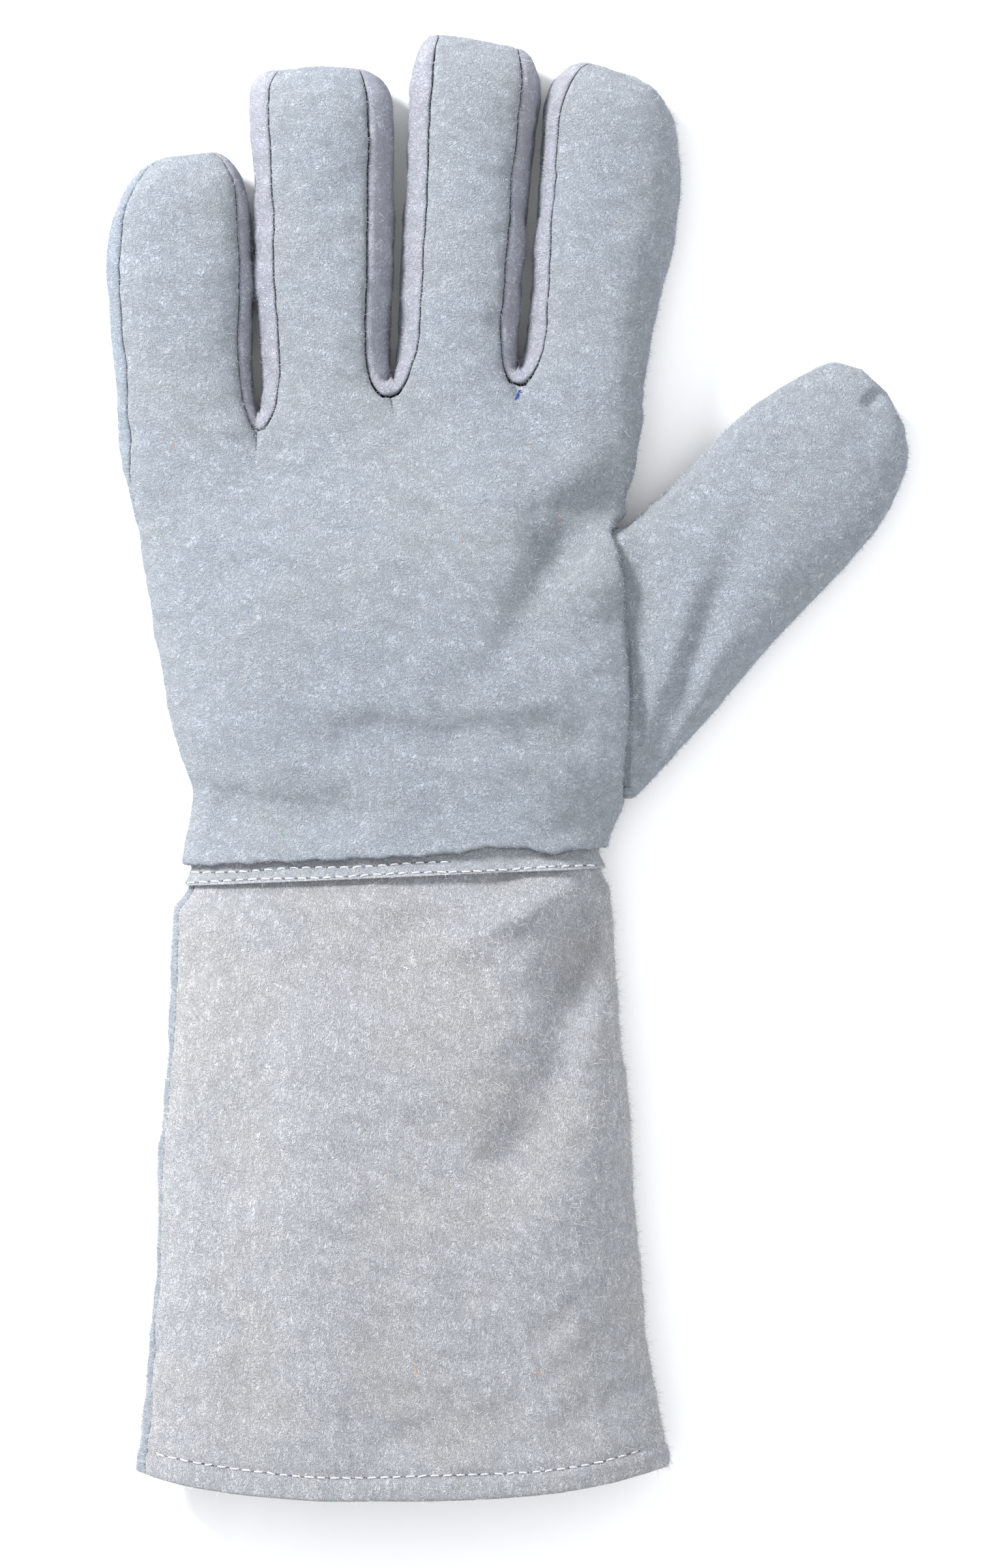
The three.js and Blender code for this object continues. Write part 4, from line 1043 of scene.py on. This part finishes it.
class Nodes:
    """Short calls for building a material's node tree."""

    def __init__(self, name):
        self.material = bpy.data.materials.new(name)
        self.material.use_nodes = True
        self.tree = self.material.node_tree
        self.tree.nodes.clear()

    def node(self, kind, inputs=None, **settings):
        node = self.tree.nodes.new(kind)
        for key, value in settings.items():
            setattr(node, key, value)
        for key, value in (inputs or {}).items():
            if isinstance(value, bpy.types.NodeSocket):
                self.tree.links.new(value, node.inputs[key])
            else:
                node.inputs[key].default_value = value
        return node

    def math(self, operation, a, b=0.0):
        return self.node("ShaderNodeMath", {0: a, 1: b}, operation=operation).outputs[0]

    def noise(self, vector, scale, detail=2.0, roughness=0.5, distortion=0.0):
        made = self.node("ShaderNodeTexNoise", {"Vector": vector, "Scale": scale, "Detail": detail,
                                                "Roughness": roughness, "Distortion": distortion})
        return made.outputs["Fac"]

    def ramp(self, value, low, high):
        made = self.node("ShaderNodeMapRange", {"Value": value, "From Min": low, "From Max": high},
                         interpolation_type="SMOOTHSTEP")
        return made.outputs["Result"]

    def mix(self, share, a, b):
        made = self.node("ShaderNodeMix", {0: share, 6: a, 7: b}, data_type="RGBA")
        return made.outputs[2]


# How deep the nap stands, in metres
NAP_DEPTH = 0.0007


def suede(name, light, base, dark, warm, worm=1.25, stretch=(1.0, 1.0, 1.0), hair=0.0, seed=0.0, blotch=0.25):
    """Split leather: a short nap that lies in curls over soft clouds of tone, with a few specks.

    hair adds long fine fibres. worm is how many curls lie along a millimetre.
    """
    n = Nodes(name)
    place = n.node("ShaderNodeTexCoord").outputs["Object"]
    plain = n.node("ShaderNodeMapping", {"Vector": place, "Location": (seed, 0.0, seed),
                                         "Scale": (1000.0, 1000.0, 1000.0)}).outputs["Vector"]
    bent = n.node("ShaderNodeTexNoise", {"Vector": plain, "Scale": 0.22, "Detail": 2.0}).outputs["Color"]
    swirl = n.node("ShaderNodeVectorMath", {0: bent, 1: (3.0, 3.0, 3.0)}, operation="MULTIPLY").outputs[0]
    moved = n.node("ShaderNodeVectorMath", {0: plain, 1: swirl}, operation="ADD").outputs[0]
    laid = n.node("ShaderNodeMapping", {"Vector": moved, "Scale": stretch}).outputs["Vector"]

    clouds = n.noise(plain, 0.03, 3.0, 0.55)
    patches = n.noise(plain, 0.13, 3.0, 0.6)
    tufts = n.noise(laid, 0.42 * worm, 2.0, 0.6, 0.5)
    curls = n.noise(laid, worm, 2.0, 0.55, 0.7)
    fine = n.noise(laid, 2.3 * worm, 3.0, 0.65, 0.5)

    def line(value, width):
        off = n.math("ABSOLUTE", n.math("SUBTRACT", value, 0.5))
        ends = {"Value": off, "From Min": 0.0, "From Max": width, "To Min": 1.0, "To Max": 0.0}
        return n.node("ShaderNodeMapRange", ends, interpolation_type="SMOOTHSTEP").outputs["Result"]

    ridge = line(curls, 0.11)
    pit = n.ramp(fine, 0.46, 0.3)
    height = n.math("ADD", n.math("MULTIPLY", ridge, 0.5), n.math("MULTIPLY", fine, 1.25))
    height = n.math("ADD", height, n.math("MULTIPLY", tufts, 0.5))

    # The nap's own tone, with painted highlight on the raised curls and painted shade in the pits and low
    # tufts, which the bump also lowers.
    tone = n.mix(n.math("MULTIPLY", ridge, 0.6), base, light)
    tone = n.mix(n.math("MULTIPLY", pit, 0.75), tone, dark)
    tone = n.mix(n.math("MULTIPLY", n.ramp(tufts, 0.55, 0.3), 0.14), tone, dark)
    tone = n.mix(n.math("MULTIPLY", n.ramp(clouds, 0.4, 0.66), blotch), tone, warm)
    deeper = n.node("ShaderNodeHueSaturation", {"Color": tone, "Value": 0.9, "Saturation": 1.05})
    deeper = deeper.outputs["Color"]
    tone = n.mix(n.math("MULTIPLY", n.ramp(patches, 0.52, 0.36), 0.3), tone, deeper)
    if hair > 0:
        strands_at = n.node("ShaderNodeMapping", {"Vector": moved, "Rotation": (0.0, 0.0, 0.35),
                                                  "Scale": (3.4, 0.42, 1.0)}).outputs["Vector"]
        strands = line(n.noise(strands_at, 1.0, 2.0, 0.6, 0.8), 0.07)
        tone = n.mix(n.math("MULTIPLY", strands, 0.55 * hair), tone, srgb(236, 238, 240))
        height = n.math("ADD", height, n.math("MULTIPLY", strands, 0.45 * hair))
    fleck = n.node("ShaderNodeTexVoronoi", {"Vector": plain, "Scale": 0.07, "Randomness": 1.0})
    speck = n.math("MULTIPLY", n.ramp(fleck.outputs["Distance"], 0.022, 0.008), 0.5)
    tone = n.mix(speck, tone, srgb(98, 94, 98))
    # Painted shade: the colour darkens where the edges roll into the seams' grooves and where the hand's edge
    # rolls down onto the band.
    groove = n.node("ShaderNodeAttribute", attribute_name="groove").outputs["Fac"]
    tone = n.mix(n.math("MULTIPLY", n.ramp(groove, 0.25, 1.0), 0.3), tone, srgb(92, 95, 106))
    raw = n.node("ShaderNodeAttribute", attribute_name="raw").outputs["Fac"]
    tone = n.mix(n.math("MULTIPLY", raw, 0.45), tone, srgb(226, 230, 235))

    bump = n.node("ShaderNodeBump", {"Height": height, "Strength": 1.0, "Distance": NAP_DEPTH})
    bumped = bump.outputs["Normal"]
    shader = n.node("ShaderNodeBsdfPrincipled", {
        "Base Color": tone, "Roughness": 0.95, "Normal": bumped, "Specular IOR Level": 0.08,
        "Sheen Weight": 0.22, "Sheen Roughness": 0.45, "Sheen Tint": (0.93, 0.96, 1.0, 1.0)})
    n.node("ShaderNodeOutputMaterial", {"Surface": shader.outputs[0]})
    return n.material


def thread(name, colour, dark):
    n = Nodes(name)
    place = n.node("ShaderNodeTexCoord").outputs["Object"]
    twist = n.node("ShaderNodeTexWave", {"Vector": place, "Scale": 900.0, "Distortion": 2.0, "Detail": 1.0},
                   bands_direction="DIAGONAL").outputs["Fac"]
    # The thread is darker where the twist's bump is low: painted shade between its strands.
    tone = n.mix(n.ramp(twist, 0.1, 0.7), dark, colour)
    bump = n.node("ShaderNodeBump", {"Height": twist, "Strength": 0.4, "Distance": 0.0002})
    bumped = bump.outputs["Normal"]
    shader = n.node("ShaderNodeBsdfPrincipled", {"Base Color": tone, "Roughness": 0.7, "Normal": bumped,
                                                 "Sheen Weight": 0.3})
    n.node("ShaderNodeOutputMaterial", {"Surface": shader.outputs[0]})
    return n.material


HAND_LEATHER = suede("hand_suede", srgb(184, 191, 200), srgb(159, 167, 177), srgb(98, 105, 117),
                     srgb(166, 168, 170), seed=3.0)
# The side strips' colour is lighter than the hand's to make up for the shade on the fingers' sides: painted
# light.
FORK_LEATHER = suede("fork_suede", srgb(196, 198, 210), srgb(172, 175, 188), srgb(114, 117, 132),
                     srgb(178, 176, 184), seed=9.0)
BAND_SUEDE = suede("band_suede", srgb(192, 196, 202), srgb(168, 173, 181), srgb(112, 118, 130),
                   srgb(176, 174, 175), seed=14.0)
CUFF_LEATHER = suede("cuff_suede", srgb(194, 196, 201), srgb(171, 174, 181), srgb(118, 121, 129),
                     srgb(173, 171, 169), worm=1.0, stretch=(1.15, 0.7, 1.0), hair=1.0, seed=21.0, blotch=0.4)
REAR_LEATHER = suede("rear_suede", srgb(180, 189, 201), srgb(154, 165, 179), srgb(96, 105, 120),
                     srgb(162, 168, 176), seed=30.0)
WHITE_THREAD = thread("white_thread", srgb(212, 213, 216), srgb(168, 171, 177))


def finish_piece(obj, material, slot, *nodes):
    obj.data.materials.append(material)
    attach(obj, "root")
    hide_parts(*nodes)
    return obj


front_of_hand = finish_piece(hand_panel(False).build("front_of_hand", even_wall, hand_relief, hand_lip),
                             HAND_LEATHER, "hand_leather", "hand_front_panel")
back_of_hand = finish_piece(hand_panel(True).build("back_of_hand", even_wall, hand_relief, hand_lip),
                            REAR_LEATHER, "hand_leather", "hand_rear_panel")
side_strips = []
for number, node in enumerate(("fork_middle_index", "fork_ring_middle", "fork_little_ring")):
    strip = fork(number).build("side_strip_" + node[5:], even_wall, uneven, strip_lip)
    side_strips.append(finish_piece(strip, FORK_LEATHER, "fork_leather", node))
wing_thumb = finish_piece(thumb().build("wing_thumb", even_wall, thumb_relief, no_lip),
                          HAND_LEATHER, "hand_leather", "thumb")
band_at_wrist = finish_piece(wrist_band().build("band_at_wrist", band_wall, band_relief, no_lip),
                             BAND_SUEDE, "band_leather", "wrist_band")
front_of_cuff = finish_piece(cuff_panel(False).build("front_of_cuff", hem_wall, cuff_relief, cuff_lip),
                             CUFF_LEATHER, "cuff_leather", "cuff_front_panel")
back_of_cuff = finish_piece(cuff_panel(True).build("back_of_cuff", hem_wall, cuff_relief, cuff_lip),
                            REAR_LEATHER, "cuff_leather", "cuff_rear_panel")


# Stitches: thread that lies on the leather between two needle holes

STITCH_PITCH = 3.0
STITCH_LENGTH = 2.1
STITCH_RADIUS = 0.22
HOLE_RADIUS = 0.27


def surface_tree(obj):
    mesh = obj.data
    points = [point.co for point in mesh.vertices]
    return BVHTree.FromPolygons(points, [list(face.vertices) for face in mesh.polygons])


def on_top(trees, x, y):
    """The highest point of some pieces at x and y, in metres, with the direction out of it."""
    start = to_scene((x, y, 120.0)).tolist()
    found = [tree.ray_cast(start, (0, 0, -1)) for tree in trees]
    found = [(np.array(place), np.array(normal)) for place, normal, _, _ in found if place is not None]
    return max(found, key=lambda hit: hit[0][2]) if found else None


def tube(centres, radii, sides=8):
    """Points and faces of a closed tube along centres that lies about level."""
    centres = np.asarray(centres)
    along = np.gradient(centres, axis=0)
    along /= np.linalg.norm(along, axis=1)[:, None]
    across = np.cross(along, (0, 0, 1))
    across /= np.linalg.norm(across, axis=1)[:, None]
    over = np.cross(across, along)
    turn = np.linspace(0, 2 * math.pi, sides, endpoint=False)
    ring = across[:, None] * np.cos(turn)[None, :, None] + over[:, None] * np.sin(turn)[None, :, None]
    points = (centres[:, None] + ring * np.asarray(radii)[:, None, None]).reshape(-1, 3)
    faces = []
    for row in range(len(centres) - 1):
        low, high = row * sides, (row + 1) * sides
        for side in range(sides):
            beside = (side + 1) % sides
            faces.append((low + side, low + beside, high + beside, high + side))
    faces.append(tuple(range(sides))[::-1])
    faces.append(tuple(range((len(centres) - 1) * sides, len(centres) * sides)))
    return points, faces


def loose_piece(name, points, faces, material):
    mesh = bpy.data.meshes.new(name)
    mesh.from_pydata(points, [], faces)
    mesh.materials.append(material)
    obj = bpy.data.objects.new(name, mesh)
    bpy.context.collection.objects.link(obj)
    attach(obj, "root")
    return obj


def joined(name, parts, material):
    """One piece of many small meshes, whose points are in metres already."""
    points, faces, count = [], [], 0
    for part_points, part_faces in parts:
        points.extend(np.asarray(part_points).tolist())
        faces.extend([tuple(number + count for number in face) for face in part_faces])
        count += len(part_points)
    obj = loose_piece(name, points, faces, material)
    obj.data.shade_smooth()
    return obj


def stitch_row(line, start, end, trees, pitch=STITCH_PITCH):
    """Stitches along y = line(x), on whichever piece is the highest, with a disc of painted shade for each
    needle hole.
    """
    fine = np.linspace(start, end, 1200)
    place = np.concatenate([[0], np.cumsum(np.hypot(np.diff(fine), np.diff(line(fine))))])
    stitches, holes = [], []
    for number in range(int(place[-1] / pitch)):
        begin = number * pitch + rng.normal(0, 0.1)
        length = STITCH_LENGTH + rng.normal(0, 0.12)
        lean = rng.normal(0, 0.12)
        centres = []
        for share in np.linspace(0, 1, 9):
            x = np.interp(begin + share * length, place, fine)
            hit = on_top(trees, x, float(line(x)) + lean * (share - 0.5) * 2)
            if hit is not None:
                rise = STITCH_RADIUS * (1.5 * math.sin(math.pi * share) ** 0.5 - 0.75)
                centres.append(hit[0] + hit[1] * rise * 0.001)
        if len(centres) < 9:
            continue
        radii = STITCH_RADIUS * 0.001 * (0.62 + 0.38 * np.sin(np.pi * np.linspace(0.06, 0.94, 9)))
        stitches.append(tube(centres, radii))
        for share in (-0.1, 1.1):
            x = np.interp(begin + share * length, place, fine)
            hit = on_top(trees, x, float(line(x)))
            if hit is not None:
                # Each needle hole is a flat dark disc on the leather: painted shade standing in for the hole.
                turn = np.linspace(0, 2 * math.pi, 10, endpoint=False)
                size = HOLE_RADIUS * rng.uniform(0.8, 1.15)
                disc = np.stack([np.cos(turn) * size, np.sin(turn) * size * 0.8, np.zeros(10)], -1) * 0.001
                disc[:, 2] = -(disc[:, 0] * hit[1][0] + disc[:, 1] * hit[1][1]) / max(hit[1][2], 0.3)
                holes.append((hit[0] + hit[1] * 0.00006 + disc, [tuple(range(10))]))
    return stitches, holes


def plain_material(name, colour, darker, scale=2500.0, roughness=0.9):
    n = Nodes(name)
    place = n.node("ShaderNodeTexCoord").outputs["Object"]
    tone = n.mix(n.ramp(n.noise(place, scale, 2.0), 0.4, 0.6), darker, colour)
    shader = n.node("ShaderNodeBsdfPrincipled", {"Base Color": tone, "Roughness": roughness,
                                                 "Specular IOR Level": 0.1})
    n.node("ShaderNodeOutputMaterial", {"Surface": shader.outputs[0]})
    return n.material


# Painted shade of the needle holes, as dark discs.
HOLE_SHADE = plain_material("needle_hole_shade", srgb(104, 106, 114), srgb(70, 72, 80))
BLUE_THREAD = plain_material("blue_thread", srgb(52, 84, 170), srgb(30, 54, 130))


def band_foot(x):
    return WRIST_Y - BAND_SHOWN + EDGE_SLANT * x


def upper_row(x):
    return band_foot(x) + 3.0 + 0.2 * np.sin(x * 0.21)


def lower_row(x):
    return band_foot(x) + 0.75 + 0.15 * np.sin(x * 0.17 + 1)


def hem_row(x):
    return mouth(x) + HEM_WIDTH - 0.1 + 0.3 * np.sin(x * 0.11)


band_tree = surface_tree(band_at_wrist)
cuff_tree = surface_tree(front_of_cuff)
hand_tree = surface_tree(front_of_hand)
stitches, holes = [], []
for line, start, end, trees in ((upper_row, -48.0, 16.0, [band_tree]), (lower_row, -49.0, 51.5, [band_tree]),
                                (hem_row, -56.0, 61.0, [cuff_tree])):
    row_stitches, row_holes = stitch_row(line, start, end, trees)
    stitches += row_stitches
    holes += row_holes
joined("white_stitches", stitches, WHITE_THREAD)
joined("needle_hole_shade", holes, HOLE_SHADE)

blue_ends = []
for x, y in ((30.9, 264.6), (30.5, 264.0), (30.4, 263.4), (30.1, 262.8), (29.6, 262.3)):
    place, normal = on_top([hand_tree], x, y)
    blue_ends.append(place + normal * 0.0001)
joined("blue_thread_end", [tube(blue_ends, np.array([0.12, 0.2, 0.22, 0.2, 0.1]) * 0.001, 6)], BLUE_THREAD)


# Loose fibres that stand out of the leather's surface, most of all along its outline and its cut edges

def fibres(name, sources, count, length, width, material, on_outline=1.0, on_top_share=0.1, on_edges=0.0):
    """Thin ribbons on the outer side of pieces, in one piece of their own."""
    corners, weights, normals = [], [], []
    for obj in sources:
        mesh = obj.data
        mesh.calc_loop_triangles()
        numbers = np.empty(len(mesh.loop_triangles) * 3, np.int32)
        mesh.loop_triangles.foreach_get("vertices", numbers)
        numbers = numbers.reshape(-1, 3)
        numbers = numbers[numbers.max(1) < len(mesh.vertices) // 2]
        points = np.empty(len(mesh.vertices) * 3)
        mesh.vertices.foreach_get("co", points)
        points = points.reshape(-1, 3)
        raw = np.empty(len(mesh.vertices), np.float32)
        mesh.attributes["raw"].data.foreach_get("value", raw)
        triangle = points[numbers]
        flat = np.cross(triangle[:, 1] - triangle[:, 0], triangle[:, 2] - triangle[:, 0])
        size = np.linalg.norm(flat, axis=1)
        normal = flat / np.maximum(size, 1e-15)[:, None]
        outline = np.exp(-((normal[:, 2] / 0.4) ** 2)) * (triangle[:, :, 2].mean(1) > 0.003)
        share = on_outline * outline + on_top_share * (normal[:, 2] > 0.3) + on_edges * raw[numbers].mean(1)
        corners.append(triangle)
        normals.append(normal)
        weights.append(size * share)
    corners, normals, weights = np.concatenate(corners), np.concatenate(normals), np.concatenate(weights)
    picked = rng.choice(len(corners), count, p=weights / weights.sum())
    mix = rng.dirichlet((1, 1, 1), count)
    start = (corners[picked] * mix[:, :, None]).sum(1)
    out = normals[picked]
    loose = rng.normal(size=(count, 3))
    loose -= out * (loose * out).sum(1)[:, None]
    loose /= np.linalg.norm(loose, axis=1)[:, None]
    lift = rng.uniform(0.25, 0.95, count)[:, None]
    way = out * lift + loose * np.sqrt(1 - lift ** 2)
    bend = rng.normal(0, 0.5, (count, 3)) - out * 0.3
    reach = (length * 0.001 * rng.gamma(4.0, 0.25, count)).clip(0.0001, 0.0025 * length)[:, None]
    side = np.cross(way, (0, 0, 1))
    side /= np.maximum(np.linalg.norm(side, axis=1), 1e-6)[:, None]
    rows = []
    for share in (0, 0.33, 0.67, 1):
        centre = start + reach * (share * way + share * share * bend * 0.6)
        half = side * (width * 0.0005 * (1 - 0.75 * share))
        rows.append(np.stack([centre - half, centre + half], 1))
    points = np.stack(rows, 1).reshape(-1, 3)
    points[:, 2] = np.maximum(points[:, 2], 0.00003)
    first = np.arange(count)[:, None] * 8 + np.array([0, 2, 4])
    faces = np.stack([first, first + 1, first + 3, first + 2], -1).reshape(-1, 4)
    return loose_piece(name, points.tolist(), faces.tolist(), material)


PALE_FIBRE = plain_material("pale_fibres", srgb(190, 196, 204), srgb(160, 167, 178), 400.0)
WARM_FIBRE = plain_material("warm_fibres", srgb(200, 200, 198), srgb(172, 172, 172), 400.0)

fibres("fuzz_on_hand", [front_of_hand, back_of_hand, wing_thumb], count=26000, length=0.75, width=0.07,
       material=PALE_FIBRE, on_outline=1.0, on_top_share=0.16, on_edges=1.5)
fibres("fuzz_on_strips", side_strips, count=7000, length=0.65, width=0.06, material=PALE_FIBRE,
       on_outline=1.0, on_top_share=0.9)
fibres("fuzz_on_band", [band_at_wrist], count=3500, length=0.6, width=0.06, material=WARM_FIBRE,
       on_outline=0.5, on_top_share=0.5, on_edges=2.0)
fibres("fuzz_on_cuff", [front_of_cuff, back_of_cuff], count=26000, length=1.2, width=0.07,
       material=WARM_FIBRE, on_outline=1.0, on_top_share=0.3, on_edges=1.0)
for name, colour in (("orange", (222, 138, 66)), ("tan", (176, 140, 96)), ("green", (98, 150, 104)),
                     ("blue", (70, 104, 176))):
    lint = plain_material(name + "_lint", srgb(*colour), srgb(*colour))
    fibres(name + "_lint", [front_of_hand, wing_thumb, front_of_cuff], count=9, length=1.0, width=0.2,
           material=lint, on_outline=0.0, on_top_share=1.0)


# Floor, light and camera

def studio():
    floor_mesh = bpy.data.meshes.new("floor")
    floor_mesh.from_pydata([(-6, -6, 0), (6, -6, 0), (6, 6, 0), (-6, 6, 0)], [], [(0, 1, 2, 3)])
    floor = bpy.data.objects.new("floor", floor_mesh)
    bpy.context.collection.objects.link(floor)
    n = Nodes("floor_white")
    shader = n.node("ShaderNodeBsdfPrincipled", {"Base Color": (0.95, 0.95, 0.95, 1), "Roughness": 0.9,
                                                 "Specular IOR Level": 0.0})
    n.node("ShaderNodeOutputMaterial", {"Surface": shader.outputs[0]})
    floor_mesh.materials.append(n.material)

    def area(name, place, size, power, colour):
        light = bpy.data.lights.new(name, "AREA")
        light.shape = "RECTANGLE"
        light.size, light.size_y = size
        light.energy = power
        light.color = colour
        obj = bpy.data.objects.new(name, light)
        obj.location = place
        direction = -np.array(place) / np.linalg.norm(place)
        obj.rotation_euler = (math.acos(-direction[2]), 0, math.atan2(-direction[0], direction[1]) + 0.0)
        bpy.context.collection.objects.link(obj)
        return obj

    area("key", (-0.95, 0.85, 0.8), (0.4, 0.4), 39, (1.0, 0.99, 0.98))
    area("fill", (0.9, -0.5, 1.4), (1.4, 1.4), 5, (0.97, 0.98, 1.0))
    area("over", (0.0, 0.0, 2.0), (1.6, 1.6), 11, (1.0, 1.0, 1.0))
    world = bpy.data.worlds.new("studio")
    world.use_nodes = True
    world.node_tree.nodes["Background"].inputs["Color"].default_value = (0.95, 0.97, 1.0, 1)
    world.node_tree.nodes["Background"].inputs["Strength"].default_value = 0.98
    bpy.context.scene.world = world
    bpy.context.scene.view_settings.view_transform = "Standard"


# The photograph's frame, in pixels, and the size of one of its pixels on the glove
PHOTO_WIDE = 1540
PHOTO_TALL = 2404
PIXEL = 0.1566
ORIGIN_COLUMN = 600
ORIGIN_ROW = 2290
CAMERA_HEIGHT = 2400.0
OUTLINE_HEIGHT = 13.0


def photo_camera():
    """Straight above and far away, with the photograph's frame at the height of the glove's outline."""
    camera = bpy.data.cameras.new("photo_camera")
    camera.sensor_fit = "VERTICAL"
    camera.sensor_height = 24.0
    camera.lens = 24.0 * (CAMERA_HEIGHT - OUTLINE_HEIGHT) / (PHOTO_TALL * PIXEL)
    camera.clip_end = 20
    obj = bpy.data.objects.new("photo_camera", camera)
    middle = ((PHOTO_WIDE / 2 - ORIGIN_COLUMN) * PIXEL, (ORIGIN_ROW - PHOTO_TALL / 2) * PIXEL, CAMERA_HEIGHT)
    obj.location = to_scene(middle)
    bpy.context.collection.objects.link(obj)
    bpy.context.scene.camera = obj


studio()
photo_camera()
